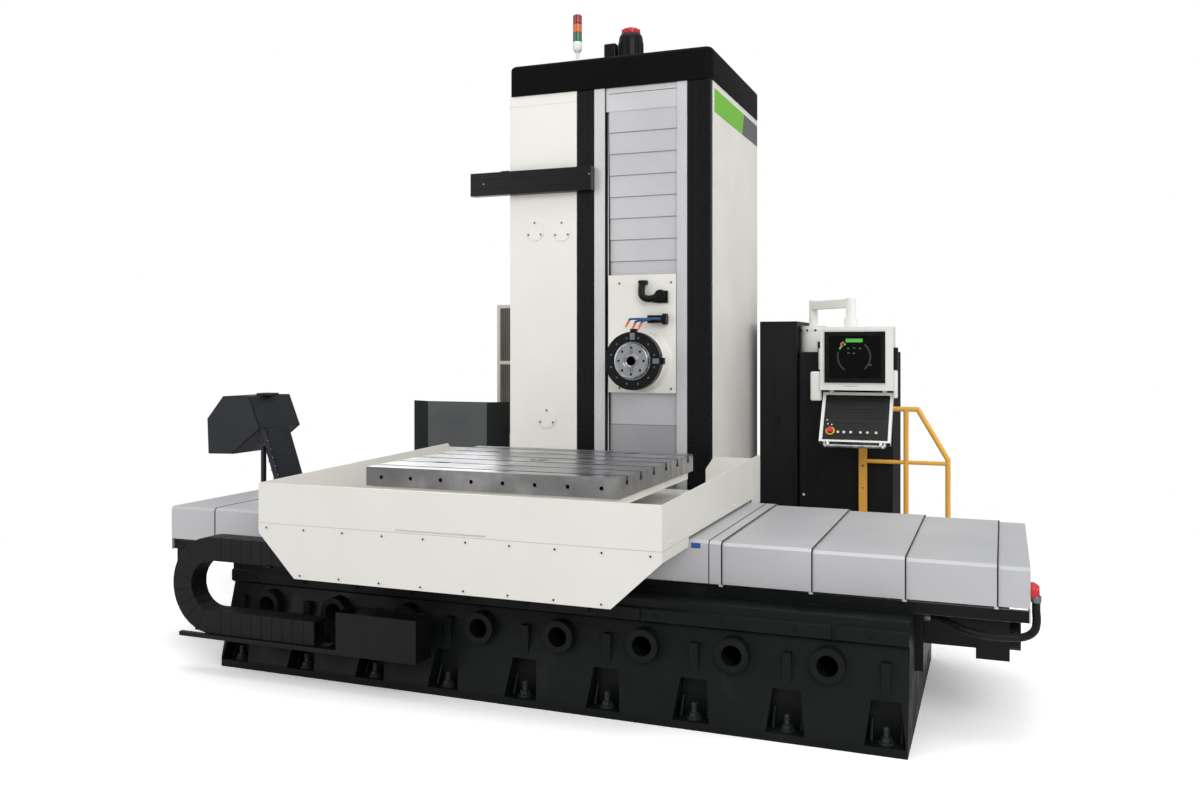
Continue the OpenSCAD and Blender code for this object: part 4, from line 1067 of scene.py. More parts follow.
@dataclass
class ColumnDetail:
    """Cap, colour fields, ridges, painted shade in the groove and along the slat edges, lamp, motor and
    screws on the column.
    """

    cap_corner: float = 60
    cap_edge: float = 34
    cap_wall: float = 12
    ridges: tuple[Flat, ...] = ((-492, 9), (-440, 5), (392, 9))
    ribs: tuple[float, ...] = (-398, -372, -346, 262, 286)
    slat_edge: float = 5
    motor_at: Flat = (-291, 1650)
    motor_fins: int = 12
    motor_grips: int = 10
    motor_bolts: tuple[float, ...] = (0.78, 2.36, 3.93, 5.5)
    plates: tuple[Flat, ...] = ((-915, 2933), (-684, 2924), (-812, 1463))
    plate_screws: float = 62

    def build(self) -> None:
        """Make the pieces on the column."""
        self._cap()
        self._fields()
        self._ridges()
        self._groove()
        self._slat_edges()
        self._ribs()
        self._lamp()
        self._motor()
        self._beam()
        self._plates()

    def _cap(self) -> None:
        """Make the cap, a hollow sheet shell whose top edge is well rounded, in place of its plain solid."""
        low, high = corners("column_cap")
        steps, wall, corner = 5, self.cap_wall, self.cap_corner
        top = pillow(tuple(low), tuple(high), corner, self.cap_edge, steps)[steps + 1:]
        rim = rounded((low.x, low.y), (high.x, high.y), corner, low.z)
        near, far = (low.x + wall, low.y + wall), (high.x - wall, high.y - wall)
        hollow = [rounded(near, far, corner - wall, z) for z in (high.z - wall, low.z)]
        cap = Shape().loft(hollow + [rim] + top)
        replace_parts(cap.make("cap_shell", CAP_BLACK, "column", 0, 0, 60), "column_cap")

    def _fields(self) -> None:
        """Make the plain green and grey colour fields on the right side."""
        _, trim = corners("column_trim")
        x, foot, head = trim.x, 3775, 3953
        green = [(1246, foot), (2120, foot), (2180, head), (1246, head)]
        Shape().prism(green, Axis.X, x - 1, x + 2).make("side_green_field", GREEN_FIELD, "column", 0.5, 1)
        grey = [(2132, foot), (2686, foot), (2686, head), (2192, head)]
        Shape().prism(grey, Axis.X, x - 1, x + 2).make("side_grey_field", GREY_FIELD, "column", 0.5, 1)

    def _ridges(self) -> None:
        """Make the slender ridges that run up the black strips."""
        low, high = corners("column_trim")
        ridges = Shape()
        for x, half in self.ridges:
            ridges.prism(ridge(x, half, 3, low.y + 1, low.y - 2.5), Axis.Z, low.z + 4, high.z - 4)
        ridges.make("trim_ridges", TRIM_BLACK, "column", 1, 2)

    def _groove(self) -> None:
        """Make dark sheets of painted shade in the groove beside the shutter, and a thin dark joint line
        above it.
        """
        low, high = corners("way_strips")
        side, foot, y = -325.2, 702, low.y
        # painted shade: the groove is dark only from the shade in it, so dark sheets line its wall and back
        shade = Shape().box((side, y - 1.2, foot), (-321, y + 53, high.z - 3))
        shade.box((side, y + 52.5, foot), (-298.5, y + 54.5, 3818))
        shade.box((-297, y + 9.2, 3954), (243, y + 10.2, 3958))
        shade.make("way_groove_painted_shade", LIP, "column")

    def _slat_edges(self) -> None:
        """Shade an edge of each shutter slat: the lower one above the head, the upper one below it."""
        for name in ["shutter_u%d" % i for i in range(1, 8)] + ["shutter_d%d" % i for i in range(1, 4)]:
            low, high = corners(name)
            z = low.z if name.startswith("shutter_u") else high.z - self.slat_edge
            edge = Shape().box((low.x + 1, low.y - 0.3, z), (high.x - 1, low.y + 1, z + self.slat_edge))
            edge.make(name + "_edge", EDGE, name)

    def _ribs(self) -> None:
        """Make the ribs that run up the way strips."""
        low, high = corners("way_strips")
        ribs = Shape()
        for x in self.ribs:
            ribs.prism(ridge(x, 4, 1.5, low.y + 0.5, low.y - 1.6), Axis.Z, low.z + 4, high.z - 4)
        ribs.make("way_strip_ribs", STRIP, "column")

    def _lamp(self) -> None:
        """Make the three-lens stack light in place of its plain solid."""
        low, high = corners("stack_light")
        x, y = (low.x + high.x) / 2, (low.y + high.y) / 2
        stem, lamps, ribs = 182, (LENS_GREEN, LENS_AMBER, LENS_RED), 6
        profile = [(0, 0), (48, 0), (48, 8), (44, 14), (18, 18), (14, 24), (14, 96), (26, 104), (35, 118)]
        profile += [(35, 178), (33, stem), (0, stem)]
        foot = Shape().lathe(profile, (x, y, low.z), UP, 32).make("lamp_foot", HOUSING_WHITE, "column")
        height = (high.z - low.z - stem - 10) / len(lamps)
        for i, lens in enumerate(lamps):
            profile = [(0, 0), (33, 0), (36, 3)]
            for r in range(ribs):
                a = 3 + (height - 6) * (r + 0.5) / ribs
                profile += [(34.5, a - 4), (36, a)]
            profile += [(36, height - 3), (33, height - 0.6), (0, height - 0.6)]
            if lens is LENS_RED:
                profile[-1:] = [(24, height + 6), (0, height + 9)]
            lit = Shape().lathe(profile, (x, y, low.z + stem + i * height), UP, 32)
            lit.make("lamp_lens_%d" % (i + 1), lens, "column")
        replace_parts(foot, "stack_light")

    def _motor(self) -> None:
        """Make the shouldered motor with its red dome and its plug box, in place of the plain solid."""
        low, _ = corners("head_motor")
        x, y, foot = *self.motor_at, low.z
        profile = [(0, 0), (111, 0), (111, 34), (107, 40), (99, 44), (98, 236), (97, 262), (92, 284)]
        body = Shape().lathe(profile + [(84, 298), (74, 306), (0, 306)], (x, y, foot), UP, 40)
        for k in range(self.motor_fins):
            turn = about((x, y, 0), "Z", k * 360 / self.motor_fins)
            body.box((x + 92, y - 4, foot + 60), (x + 104, y + 4, foot + 232), turn)
        body.loft(pillow((-506, y - 60, foot + 0.2), (-402, y + 60, foot + 236), 16, 14))
        body.box((-420, y - 26, foot + 120), (-380, y + 26, foot + 190))
        motor = body.make("motor_shell", BLACK, "column", 0, 0, 40)
        profile = [(0, 304), (70, 304), (72, 308), (72, 332), (66, 342), (50, 350), (24, 353), (0, 354)]
        cap = Shape().lathe(profile, (x, y, foot), UP, 40)
        for k in range(self.motor_grips):
            turn = about((x, y, 0), "Z", k * 360 / self.motor_grips)
            cap.box((x + 60, y - 9, foot + 306), (x + 77, y + 9, foot + 338), turn)
        cap.make("motor_red_cap", RED, "column", 2, 2)
        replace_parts(motor, "head_motor")
        heads = [(x + 104 * math.cos(a), y + 104 * math.sin(a), foot + 38) for a in self.motor_bolts]
        screw_heads(Shape(), heads, UP, 8, 7).make("motor_flange_bolts", SCREW, "column")

    def _beam(self) -> None:
        """Make the lips, the lug and the bolts of the side beam."""
        low, high = corners("side_beam")
        lip = Shape()
        for z in (low.z + 50, high.z - 56):
            lip.box((low.x + 4, low.y - 1.5, z), (high.x - 6, low.y + 2, z + 6))
        lip.box((low.x + 260, low.y + 20, high.z - 2), (low.x + 330, low.y + 50, high.z + 9))
        lip.make("beam_lips", BLACK, "column", 1.2, 2)
        heads = [(low.x + 118, low.y, low.z + 92), (high.x - 14, low.y, high.z - 62)]
        screw_heads(Shape(), heads, FRONT, 8, 4).make("beam_bolts", SCREW, "column")

    def _plates(self) -> None:
        """Make the bright screws of the three round access plates."""
        low, _ = corners("access_plates")
        heads = Shape()
        for plate in self.plates:
            for x, z in circle(plate, self.plate_screws, 3, 90):
                heads.lathe(capped(9, 1, 6, 2.5), (x, low.y, z), FRONT, 14)
        heads.make("access_plate_screws", SCREW, "column")


@dataclass
class HeadDetail:
    """Bolts, tabs, rims, drive keys, coolant block and lines, and the swivel elbow of the spindle head."""

    spin: Flat
    plate: float = 1146
    bolts: int = 12
    bolt_circle: float = 174

    def _round(self, radius: float, degrees: float) -> Flat:
        """Return X and Z at an angle about the spindle axis; 0 points up."""
        a = math.radians(degrees)
        return self.spin[0] + radius * math.sin(a), self.spin[1] + radius * math.cos(a)

    def _ring(self, shape: Shape, profile: Sequence[Flat], y: float, sides: int) -> Shape:
        """Turn a profile about the spindle axis, from y towards the front, and return the shape."""
        return shape.lathe(profile, (self.spin[0], y, self.spin[1]), FRONT, sides)

    def build(self) -> None:
        """Make the pieces on the head."""
        self._nose()
        self._spindle()
        heads = [(x, self.plate, z) for x in (-206, 205) for z in (2503, 1706)]
        screw_heads(Shape(), heads, FRONT, 9, 5).make("head_plate_screws", SCREW, "head")
        fillet = [(219, 0), (246, 0), (241, 1.5), (236, 5), (228, 14), (219, 30)]
        self._ring(Shape(), fillet, self.plate + 1.5, 72).make("housing_fillet", WHITE, "head")
        self._coolant(self.plate)

    def _nose(self) -> None:
        """Make the bolts, the two tabs and the bright rim of the nose ring."""
        low, _ = corners("nose_ring")
        cx, cz, y = *self.spin, low.y
        socket_head = [(0, 0), (8.5, 0), (8.5, 8), (7, 10), (4.2, 10), (4.2, 5), (0, 5)]
        bolts = Shape()
        for k in range(self.bolts):
            x, z = self._round(self.bolt_circle, (k + 0.5) * 360 / self.bolts)
            bolts.lathe(socket_head, (x, y + 10, z), FRONT, 12)
        bolts.make("nose_ring_bolts", SCREW, "head")
        tabs = Shape()
        for a in (0, 90):
            tabs.box((cx - 19, y - 2.5, cz + 156), (cx + 19, y + 4, cz + 207), about((cx, 0, cz), "Y", a))
        tabs.make("nose_ring_tabs", SCREW, "head", 1.5, 2)
        self._ring(Shape(), hoop(133, 141, 5), y + 1, 64).make("nose_ring_rim", STEEL, "head")

    def _spindle(self) -> None:
        """Make the drive keys and rims on the spindle's face, and the boring spindle's nose and taper."""
        low, _ = corners("spindle")
        cx, cz, y = *self.spin, low.y
        keys = Shape()
        for a in (0, 180):
            keys.box((cx - 12.5, y - 9, cz + 63.5), (cx + 12.5, y + 8, cz + 83.5),
                     about((cx, 0, cz), "Y", a))
            screw_heads(keys, [(cx, y - 9, cz + 73.5)], FRONT, 6, 1)
        keys.make("spindle_drive_keys", STEEL, "spindle", 1, 2)
        rims = Shape()
        self._ring(rims, [(118, 0), (129, 0), (129, 3), (126, 5), (120, 5), (118, 3), (118, 0)], y + 0.5, 72)
        self._ring(rims, [(57, 0), (62, 0), (62, 3), (60, 4.5), (57, 3), (57, 0)], y + 0.5, 60)
        rims.make("spindle_face_rims", STEEL, "spindle")
        low, _ = corners("boring_spindle")
        bar = Shape()
        self._ring(bar, [(36, 0), (53, 0), (53, 2.5), (50, 5), (40, 5), (36, 2), (36, 0)], low.y + 0.5, 48)
        taper = [(19.5, -106), (34.5, -1), (34.5, 0.5), (33.6, 0.5), (18.6, -106), (19.5, -106)]
        self._ring(bar, taper, low.y + 0.5, 48).make("boring_spindle_nose", STEEL, "boring_spindle")

    def _coolant(self, front: float) -> None:
        """Make the coolant block, its three lines and the swivel elbow above it."""
        ports, depth, middle, half = (62, 104, 146), 68, 2227, 29
        block = Shape().box((40, front - depth, middle - half), (186, front, middle + half))
        for x in ports:
            block.lathe(capped(17, 8, 12, 12), (x, front - depth, middle), FRONT, 6)
        block.box((150, front - 50, 2186), (184, front, 2268))
        made = block.make("coolant_block", BLACK, "head", 3, 2)
        elbow = Shape()
        bend = [(-8, front - 34, 2512), (-14, front - 40, 2450), (-8, front - 44, 2404),
                (30, front - 46, 2380), (80, front - 48, 2384), (110, front - 44, 2400)]
        elbow.tube(curve_through(bend), 26, 20)
        elbow.lathe(capped(34, 20, 30, 26), (-8, front - 34, 2494), UP, 24)
        elbow.box((-40, front - 30, 2490), (26, front, 2520))
        boss = [(0, 0), (40, 0), (44, 6), (44, 46), (38, 52), (0, 52)]
        elbow.lathe(boss, (132, front - 2, 2404), FRONT, 28)
        elbow.box((104, front - 24, 2348), (184, front, 2440))
        elbow.box((60, front - 16, 2352), (110, front, 2392))
        elbow.make("swivel_elbow", TRIM_BLACK, "head", 2, 2)
        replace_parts(made, "coolant_manifold")
        lines, tips = Shape(), Shape()
        rows = ((60, -85, 2214, -112, 2158), (50, -38, 2196, -58, 2142), (50, 12, 2196, -8, 2142))
        tip = [(0, 0), (8, 0), (10, 6), (10, 18), (6.5, 44), (5, 56), (0, 56)]
        for x0, (reach, x1, z1, x2, z2) in zip(ports, rows):
            path = curve_through([(x0, front - 78, middle), (x0 - 14, front - 96, middle + 1),
                                  (x0 - reach, front - 110, middle + 1), (x1 + 8, front - 118, z1 + 12),
                                  (x1, front - 122, z1 - 4)])
            lines.tube(path, 8.5, 12)
            for p in path[2:-2:3]:
                lines.lathe([(8, -4), (10.5, 0), (8, 4)], p, (1, 0, -0.15), 12)
            tips.lathe(tip, (x1, front - 122, z1), (x2 - x1, -14, z2 - z1), 14)
        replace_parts(lines.make("coolant_blue_lines", BLUE, "head"), "coolant_lines")
        tips.make("coolant_orange_tips", ORANGE, "head")


@dataclass
class Pendant:
    """Screen, keys, buttons, handle and lugs of the operator's panel."""

    pivot: Flat = (2120, 1630)
    tilt: float = 58
    face: float = 1996
    buttons: tuple[float, ...] = (1322, 1368, 1420, 1494, 1546, 1612)
    button_row: float = -340
    key_rows: tuple[float, ...] = (-40, -66, -92, -128, -154, -180, -206)
    key_gaps: tuple[Flat, ...] = ((2, 9), (3, 4), (5, 10))
    key_foot: float = 29
    key_top: float = 32.8

    def build(self) -> None:
        """Make the pieces on the panel and on the keyboard."""
        self._screen()
        self._keyboard()

    def _screen(self) -> None:
        """Make the bezel, the dark glass, the dial and the sides of the panel."""
        x0, x1, z0, z1, y, w = 1206, 1672, 1738, 2140, self.face, 34
        bezel = Shape().box((x0, y - 6, z0), (x1, y + 10, z0 + w)).box((x0, y - 6, z1 - w), (x1, y + 10, z1))
        for x in (x0, x1 - w):
            bezel.box((x, y - 6, z0 + w), (x + w, y + 10, z1 - w))
        bezel.make("screen_bezel", TRIM_BLACK, "panel", 3, 2)
        glass = Shape().box((x0 + w, y - 1, z0 + w), (x1 - w, y + 2, z1 - w))
        glass.make("screen_glass", GLASS, "panel", 1, 1)
        self._dial(y - 2, y - 0.5)
        self._sides()

    def _dial(self, front: float, back: float) -> None:
        """Make the plain arcs, bar and marks on the glass, between front and back in Y."""
        arcs = (("screen_green_arc", SCREEN_GREEN, 132, 136, 152),
                ("screen_green_arc_two", SCREEN_GREEN, 126, 122, 130),
                ("screen_red_arc", SCREEN_RED, 146, 124, 138),
                ("screen_grey_arc_left", SCREEN_DIM, 132, 162, 236),
                ("screen_grey_arc_right", SCREEN_DIM, 132, -50, 50))
        centre, width, steps = (1434, 1944), 14, 14
        for name, finish, radius, start, end in arcs:
            turns = [start + (end - start) * i / steps for i in range(steps + 1)]
            outer = [around(centre, radius, a) for a in turns]
            inner = [around(centre, radius - width, a) for a in reversed(turns)]
            Shape().prism(outer + inner, Axis.Y, front, back).make(name, finish, "panel")
        bar = Shape().box((1370, front, 2056), (1500, back, 2084))
        bar.make("screen_green_bar", SCREEN_GREEN, "panel", 0.5, 1)
        marks = Shape()
        for x, z in ((1390, 2008), (1436, 2012), (1480, 2008), (1392, 1972), (1434, 1970), (1560, 1880)):
            marks.box((x - 9, front, z - 6), (x + 9, back, z + 6))
        marks.make("screen_grey_marks", SCREEN_GREY, "panel", 0.5, 1)

    def _sides(self) -> None:
        """Make the grip, the lugs and the grey strips of the panel."""
        grip = Shape().loft(pillow((1728, 2036, 1842), (1762, 2078, 2016), 12, 8))
        grip.box((1140, 2066, 1926), (1172, 2110, 2064)).make("panel_side_grip", BLACK, "panel", 2, 2)
        lugs = Shape().loft(pillow((1086, 2036, 1592), (1172, 2092, 1824), 22, 14))
        lugs.loft(pillow((1727, 2036, 1622), (1758, 2086, 1838), 13, 10))
        lugs.make("panel_side_lugs", HOUSING_WHITE, "panel", 0, 0, 50)
        trim = Shape().box((1350, 2008.4, 1708), (1460, 2011, 1716))
        trim.box((1180, 2008, 2150), (1720, 2011.5, 2153)).make("panel_grey_trim", STRIP, "panel", 1, 1)

    def _keyboard(self) -> None:
        """Make the key field, keys, buttons, stop-button collar and handle on the tilted slab."""
        lean = Matrix.Rotation(math.radians(self.tilt), 4, "X")
        turn = Matrix.Translation(Vector((0, *self.pivot))) @ lean
        board = Shape().box((1206, -404, 26), (1700, -8, 29.8), turn)
        board.make("key_field", KEY_FACE, "keyboard", 1.5, 2)
        foot, top, row = self.key_foot, self.key_top, self.button_row
        keys = Shape()
        for r, v in enumerate(self.key_rows):
            for c in range(14):
                x = 1226 + c * 33
                if (r, c) not in self.key_gaps:
                    keys.box((x, v - 10, foot), (x + 26, v + 10, top), turn)
        for c in range(8):
            keys.box((1300 + c * 48, -262, foot), (1330 + c * 48, -240, top), turn)
        keys.make("key_caps", KEY, "keyboard", 1.2, 1)
        lit, rims = Shape(), Shape()
        for x in self.buttons:
            lit.lathe(capped(11.5, 5, 8, 8), (x, row, foot), UP, 20, turn)
            rims.lathe([(12, 0), (19, 0), (19, 4), (12, 6), (12, 0)], (x, row, foot), UP, 20, turn)
        for x, v in ((1232, -236), (1240, -270), (1270, -276)):
            lit.lathe([(0, 0), (6, 0), (6, 4), (0, 5)], (x, v, foot), UP, 12, turn)
        lit.make("white_buttons", BUTTON, "keyboard")
        rims.make("button_rims", KEY, "keyboard")
        bar = [(1222, -424, 14), (1226, -448, 18)] + [(x, -455, 20) for x in (1240, 1262, 1450, 1640, 1662)]
        grip = Shape().tube(curve_through(bar + [(1676, -448, 18), (1680, -424, 14)], 4), 13, 16, turn)
        grip.box((1182, -421.5, -26), (1718, -420, 24), turn).make("keyboard_steel_grip", STEEL, "keyboard")
        profile = [(24, 0), (36, 0), (36, 3), (33, 6), (24, 6), (24, 0)]
        collar = Shape().lathe(profile, (1262, -330, foot), UP, 28, turn)
        collar.make("stop_yellow_collar", YELLOW_PLASTIC, "keyboard")


@dataclass
class HoseDetail:
    """Corrugated hose from the end fitting down and back to the bed, in place of its faceted solid."""

    route: tuple[Point, ...] = (
        (2674, -690, 775.7), (2674, -690, 700), (2676, -695, 650), (2664, -701, 600), (2615, -707, 568),
        (2530, -708, 558), (2430, -692, 556), (2330, -640, 564), (2250, -575, 578), (2180, -530, 585),
        (2128.4, -530, 585))
    radius: float = 19

    def build(self) -> None:
        """Make the hose with its rings and end sleeves."""
        path, r = curve_through(self.route, 8), self.radius
        core = Shape().tube(path, r, 16).make("coolant_hose_core", RUBBER, "frame")
        rings = Shape()
        for i in range(1, len(path) - 1):
            ahead = tuple(Vector(path[i + 1]) - Vector(path[i - 1]))
            rings.lathe([(r - 1, -4), (r + 2, -1.5), (r + 2, 1.5), (r - 1, 4)], path[i], ahead, 16)
        rings.make("coolant_hose_rings", RUBBER, "frame")
        sleeves = Shape()
        for i, j in ((0, 1), (-1, -2)):
            ahead = tuple(Vector(path[j]) - Vector(path[i]))
            sleeves.lathe([(0, 0), (24, 0), (25, 3), (25, 30), (22, 34), (0, 34)], path[i], ahead, 20)
        sleeves.make("coolant_hose_sleeves", SCREW, "frame")
        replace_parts(core, "coolant_hose")


@dataclass
class CabinetDetail:
    """Bead, seams, a darker side sheet of painted shade, handle and lock of the cabinet, and screws of the
    arm and railing.
    """

    front: float = 2400
    oval_at: Flat = (1133, 918)
    oval_half: Flat = (54, 125)
    seams: tuple[float, ...] = (1012, 1420, 1560)
    mount: Flat = (1024, 2560)
    mount_screws: int = 10
    post: Flat = (1462, 2318)

    def build(self) -> None:
        """Make the pieces on the cabinet, the arm mount and the railing."""
        y, steps = self.front, 40
        (cx, cz), (across, up) = self.oval_at, self.oval_half
        turns = [2 * math.pi * k / steps for k in range(steps)]
        outline = [(cx + across * math.cos(a), cz + up * math.sin(a)) for a in turns]
        oval = Shape()
        for (x0, z0), (x1, z1) in zip(outline, outline[1:] + outline[:1]):
            oval.rod((x0, y - 1, z0), (x1, y - 1, z1), 3.2, 8)
        oval.make("cabinet_oval_bead", CABINET, "frame")
        # painted shade: the side face is covered in the darker copy of the enamel
        flank = Shape().box((1686.6, y + 4, 384), (1688.4, 3096, 1974))
        flank.make("cabinet_flank", CABINET_SHADED_SIDE, "frame")
        seams = Shape()
        for x in self.seams:
            seams.box((x, y - 1.2, 420), (x + 4, y + 1, 1940))
        seams.make("cabinet_seams", LIP, "frame")
        handle = Shape().box((1446, y - 12, 1250), (1470, y + 1, 1400))
        handle.box((1450, y - 22, 1290), (1466, y - 10, 1390)).make("cabinet_handle", BLACK, "frame", 3, 2)
        Shape().lathe(capped(11, 3, 6, 4), (971, y, 792), FRONT, 20).make("cabinet_lock", BUTTON, "frame")
        screws = Shape()
        for x, y in circle(self.mount, 104, self.mount_screws):
            outward = (x - self.mount[0], y - self.mount[1], 0)
            screws.lathe(capped(9, 9, 6, 11), (x, y, 2161), outward, 10)
        screws.make("arm_mount_screws", BLACK, "arm")
        x, y = self.post
        clamp = Shape().box((x - 8, y - 5, 1050), (x + 8, y, 1066))
        screw_heads(clamp, [(x, y, z) for z in (460, 880, 1340)], FRONT, 8, 5)
        clamp.make("rail_post_screws", SCREW, "frame")


@dataclass
class LeftRearDetail:
    """Grille and panel of the cooling cabinet, middle sheet of the guard, and the whole conveyor."""

    bars: int = 34
    bar_pitch: float = 20
    bar: float = 8
    incline_foot: float = -3199
    incline_height: float = 1285
    incline_rise: float = 0.353

    def build(self) -> None:
        """Make the pieces at the left rear."""
        low, high = corners("cooling_cabinet")
        grille = Shape()
        for k in range(self.bars):
            x = low.x + 40 + k * self.bar_pitch
            for z0, z1 in ((1184, 1852), (1894, high.z - 38)):
                grille.box((x, low.y - 3, z0), (x + self.bar, low.y + 22, z1))
        grille.make("cooler_grille_bars", GRILLE, "frame", 1, 1)
        panel = Shape().box((low.x + 30, low.y - 4, 120), (low.x + 760, low.y + 1, 1150))
        panel.make("cooler_lower_panel", CREAM, "frame", 2, 2)
        _, high = corners("guard_screen")
        sheet = Shape().box((-2322, 1898, 20), (-1729, 1900.5, high.z - 3))
        sheet.make("guard_middle_sheet", GUARD_SHEET, "frame", 0.8, 1)
        self._conveyor()

    def _incline(self, z: float) -> float:
        """Return the X of the incline's upper edge at a height."""
        return self.incline_foot + self.incline_rise * (self.incline_height - z)

    def _conveyor(self) -> None:
        """Make the conveyor with its narrow incline and open hood, in place of its plain solid."""
        front, narrow, wide, wall = 790, 300, 530, 8
        left, right, foot, top = -2600, 900, 262, 600
        near, far = front + narrow, front + wide
        casing = Shape()
        casing.box((left, front, foot), (right, near, 300))
        for y in (front, near - wall):
            casing.box((left, y, foot), (right, y + wall, top))
        casing.box((right - wall, front, foot), (right, near, top))
        for x in (-2200, -1500, 500):
            casing.box((x, 820, 0), (x + 60, 1060, foot + 1))
        casing.box((-2060, 759, 300), (-1960, front + 1, 420))
        back = [(self._incline(z), z) for z in (1330, 960, top)]
        belly = [(x - 66, z) for x, z in back] + [(-2935, 330), (-2860, foot), (-2590, foot)]
        for y in (front, near - wall):
            casing.prism(belly + [(-2590, top)] + back[::-1], Axis.Y, y, y + wall)
        upper = back + [(x - wall, z) for x, z in back[::-1]]
        under = belly + [(-2590, 270), (-2856, 270), (-2928, 334)] + [(x - 58, z) for x, z in back[::-1]]
        lid = [(-2965, top), (left, top), (left, top - wall), (-2965, top - wall)]
        for skin in (upper, under, lid):
            casing.prism(skin, Axis.Y, front, near)
        casing.box((-3280, front + 10, 0), (-3253, front + 50, 1345))
        casing.box((-3480, far - 50, 0), (-3453, far - 10, 1200))
        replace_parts(casing.make("conveyor_casing", HOOD, "frame", 2, 2), "conveyor")
        hood = Shape()
        outer = [(-3570, 1115), (-3279, 1338), (-3391, 1605), (-3667, 1603), (-3835, 1408), (-3822, 1109)]
        inner = [(-3814, 1110), (-3827, 1406), (-3662, 1595), (-3396, 1597), (-3290, 1341), (-3573, 1123)]
        for y in (front, far - wall):
            hood.prism(outer, Axis.Y, y, y + wall)
        hood.prism(outer + inner, Axis.Y, front, far)
        motor = [(0, 0), (92, 0), (92, 12), (78, 20), (78, 150), (70, 160), (0, 160)]
        hood.lathe(motor, (-3640, far, 1390), (0, 1, 0), 32).make("conveyor_hood", HOOD, "frame", 2, 2)
        plate = [(-3570, 1115.2), (-3279, 1338.2), (-3277.8, 1336.6), (-3568.8, 1113.6)]
        Shape().prism(plate, Axis.Y, front + 1, far - 1).make("hood_chin_plate", LIP, "frame")
        cap = Shape().box((-3459, 960, 1604), (-3324, 1090, 1626))
        cap.make("hood_top_cap", HOOD, "frame", 5, 2)
        screws = Shape()
        for z in range(1240, 679, -70):
            x = self._incline(z)
            screw_heads(screws, [(x - 12, front, z), (x - 54, front, z - 35)], FRONT, 6, 4)
        screws.make("incline_screws", SCREW, "frame")


# ---------------------------------------------------------------------------
# Studio
# ---------------------------------------------------------------------------


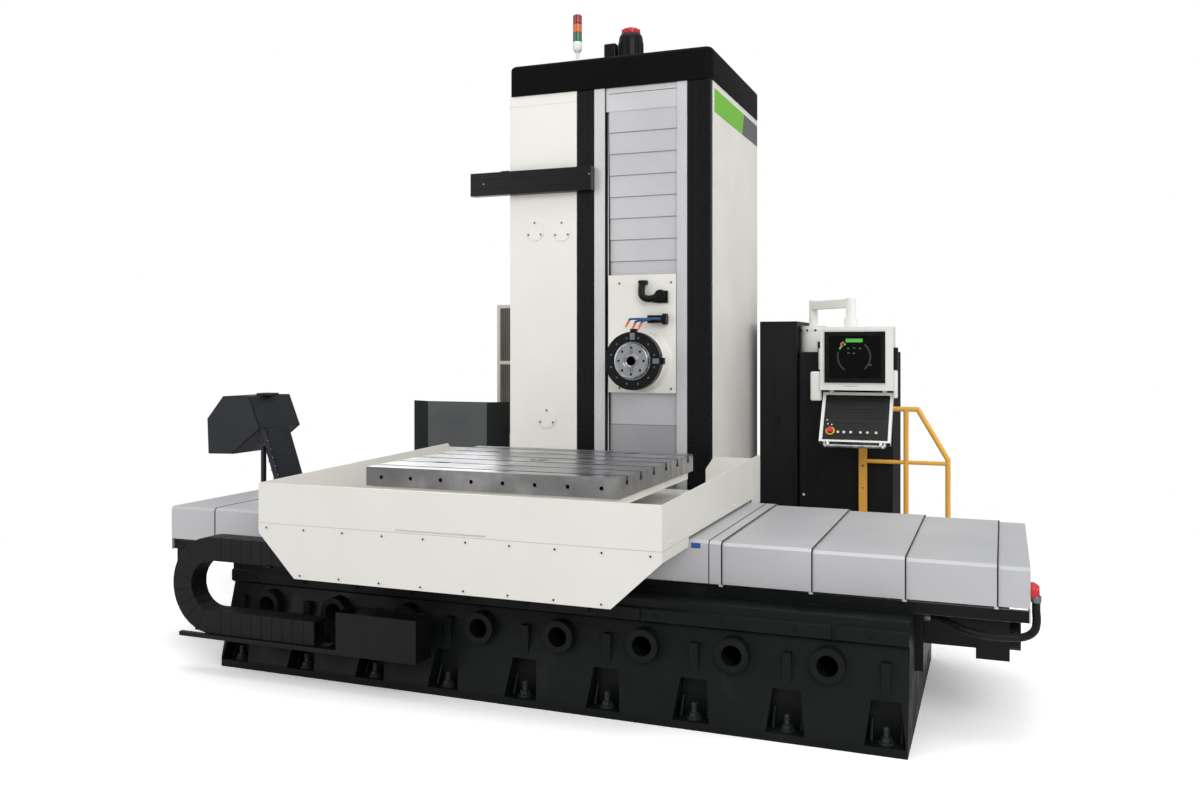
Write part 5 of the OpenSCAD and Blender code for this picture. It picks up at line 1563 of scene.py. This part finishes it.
@dataclass
class Studio:
    """Pale floor, soft lights and the camera."""

    camera_at: Point = (2.520, -6.291, 2.000)
    camera_turn: float = 0.3700
    lens: float = 31.17
    shift_y: float = -0.0421
    floor_half: float = 40.0
    floor_bounce: float = 0.75
    floor_seen: float = 1.35
    sky_low: float = 0.62
    sky_strength: float = 0.62
    fade_start: float = 3.2
    fade_end: float = 7.5

    def build(self) -> None:
        """Make the floor, the lights, the world and the camera."""
        self._floor()
        self._world()
        self._lights()
        self._camera()

    def _floor(self) -> None:
        """Make the floor, which shows white but keeps the shadow of the machine."""
        mesh = bpy.data.meshes.new("studio_floor")
        s = self.floor_half
        mesh.from_pydata([(-s, -s, 0), (s, -s, 0), (s, s, 0), (-s, s, 0)], [], [(0, 1, 2, 3)])
        floor = bpy.data.objects.new("studio_floor", mesh)
        bpy.context.scene.collection.objects.link(floor)
        material = bpy.data.materials.new("studio_floor_pale")
        material.use_nodes = True
        tree = material.node_tree
        tree.nodes.clear()
        seen = add_node(tree, "ShaderNodeLightPath").outputs["Is Camera Ray"]
        tones = {"Value": seen, "To Min": self.floor_bounce, "To Max": self.floor_seen}
        tone = add_node(tree, "ShaderNodeMapRange", tones).outputs["Result"]
        grey = add_node(tree, "ShaderNodeCombineColor", {"Red": tone, "Green": tone, "Blue": tone})
        paper = add_node(tree, "ShaderNodeBsdfDiffuse", {"Color": grey.outputs[0]})
        plain = add_node(tree, "ShaderNodeEmission", {"Color": (1, 1, 1, 1), "Strength": 1.0})
        where = add_node(tree, "ShaderNodeTexCoord").outputs["Object"]
        away = add_node(tree, "ShaderNodeVectorMath", {0: where}, operation="LENGTH").outputs["Value"]
        fade = add_node(tree, "ShaderNodeMapRange",
                        {"Value": away, "From Min": self.fade_start, "From Max": self.fade_end},
                        interpolation_type="SMOOTHSTEP").outputs["Result"]
        both = add_node(tree, "ShaderNodeMath", {0: fade, 1: seen}, operation="MULTIPLY").outputs[0]
        mixed = add_node(tree, "ShaderNodeMixShader", {0: both, 1: paper.outputs[0], 2: plain.outputs[0]})
        add_node(tree, "ShaderNodeOutputMaterial", {"Surface": mixed.outputs[0]})
        mesh.materials.append(material)

    def _world(self) -> None:
        """Make a soft world: white to the camera, a quiet gradient to light and metal."""
        world = bpy.data.worlds.new("studio_world")
        world.use_nodes = True
        bpy.context.scene.world = world
        tree = world.node_tree
        tree.nodes.clear()
        path = add_node(tree, "ShaderNodeLightPath")
        coords = add_node(tree, "ShaderNodeTexCoord").outputs["Generated"]
        parts = add_node(tree, "ShaderNodeSeparateXYZ", {"Vector": coords})
        heights = {"Value": parts.outputs["Z"], "From Min": -0.1, "From Max": 0.9, "To Min": self.sky_low}
        up = add_node(tree, "ShaderNodeMapRange", heights)
        grey = add_node(tree, "ShaderNodeCombineColor",
                        {"Red": up.outputs[0], "Green": up.outputs[0], "Blue": up.outputs[0]})
        soft = add_node(tree, "ShaderNodeBackground",
                        {"Color": grey.outputs[0], "Strength": self.sky_strength})
        plain = add_node(tree, "ShaderNodeBackground", {"Color": (1, 1, 1, 1), "Strength": 1.0})
        seen = path.outputs["Is Camera Ray"]
        mixed = add_node(tree, "ShaderNodeMixShader", {0: seen, 1: soft.outputs[0], 2: plain.outputs[0]})
        add_node(tree, "ShaderNodeOutputWorld", {"Surface": mixed.outputs[0]})

    def _lights(self) -> None:
        """Make the large soft lamps."""
        rows = (("key", (6.0, -8.0, 6.5), (0.3, 0.3, 1.2), 6.0, 500),
                ("fill", (-8.0, -6.5, 4.5), (-0.6, 0.4, 1.0), 6.0, 230),
                ("top", (0.0, 0.5, 9.5), (0.0, 0.6, 0.0), 7.0, 260),
                ("side", (9.0, 2.5, 4.5), (0.6, 2.0, 2.4), 5.0, 135),
                ("back", (-5.0, 7.5, 2.9), (-0.6, 0.2, 1.2), 3.5, 70))
        for name, place, target, size, power in rows:
            data = bpy.data.lights.new("studio_" + name, "AREA")
            data.size = size
            data.energy = power
            lamp = bpy.data.objects.new("studio_" + name, data)
            lamp.location = place
            lamp.rotation_euler = (Vector(target) - Vector(place)).to_track_quat("-Z", "Y").to_euler()
            lamp.visible_camera = False
            bpy.context.scene.collection.objects.link(lamp)

    def _camera(self) -> None:
        """Make the camera."""
        data = bpy.data.cameras.new("studio_camera")
        data.lens = self.lens
        data.sensor_width = 36
        data.shift_y = self.shift_y
        data.clip_end = 200
        camera = bpy.data.objects.new("studio_camera", data)
        camera.location = self.camera_at
        camera.rotation_euler = (math.pi / 2, 0, self.camera_turn)
        bpy.context.scene.collection.objects.link(camera)
        bpy.context.scene.camera = camera


def main() -> None:
    """Build the studio, dress the solids and add every detail piece."""
    logging.basicConfig(level=logging.INFO, format="%(message)s")
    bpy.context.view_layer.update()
    bpy.context.scene.view_settings.view_transform = "Standard"
    Studio().build()
    spin = (-27.0, 1915.0)
    SolidFinishes().dress(spin)
    for part in (BedDetail(), CoverDetail(), PanDetail(), TableDetail(), ColumnDetail(), HeadDetail(spin),
                 Pendant(),
                 HoseDetail(), CabinetDetail(), LeftRearDetail()):
        part.build()
        LOG.info("built %s", type(part).__name__)


if __name__ == "__main__":
    main()
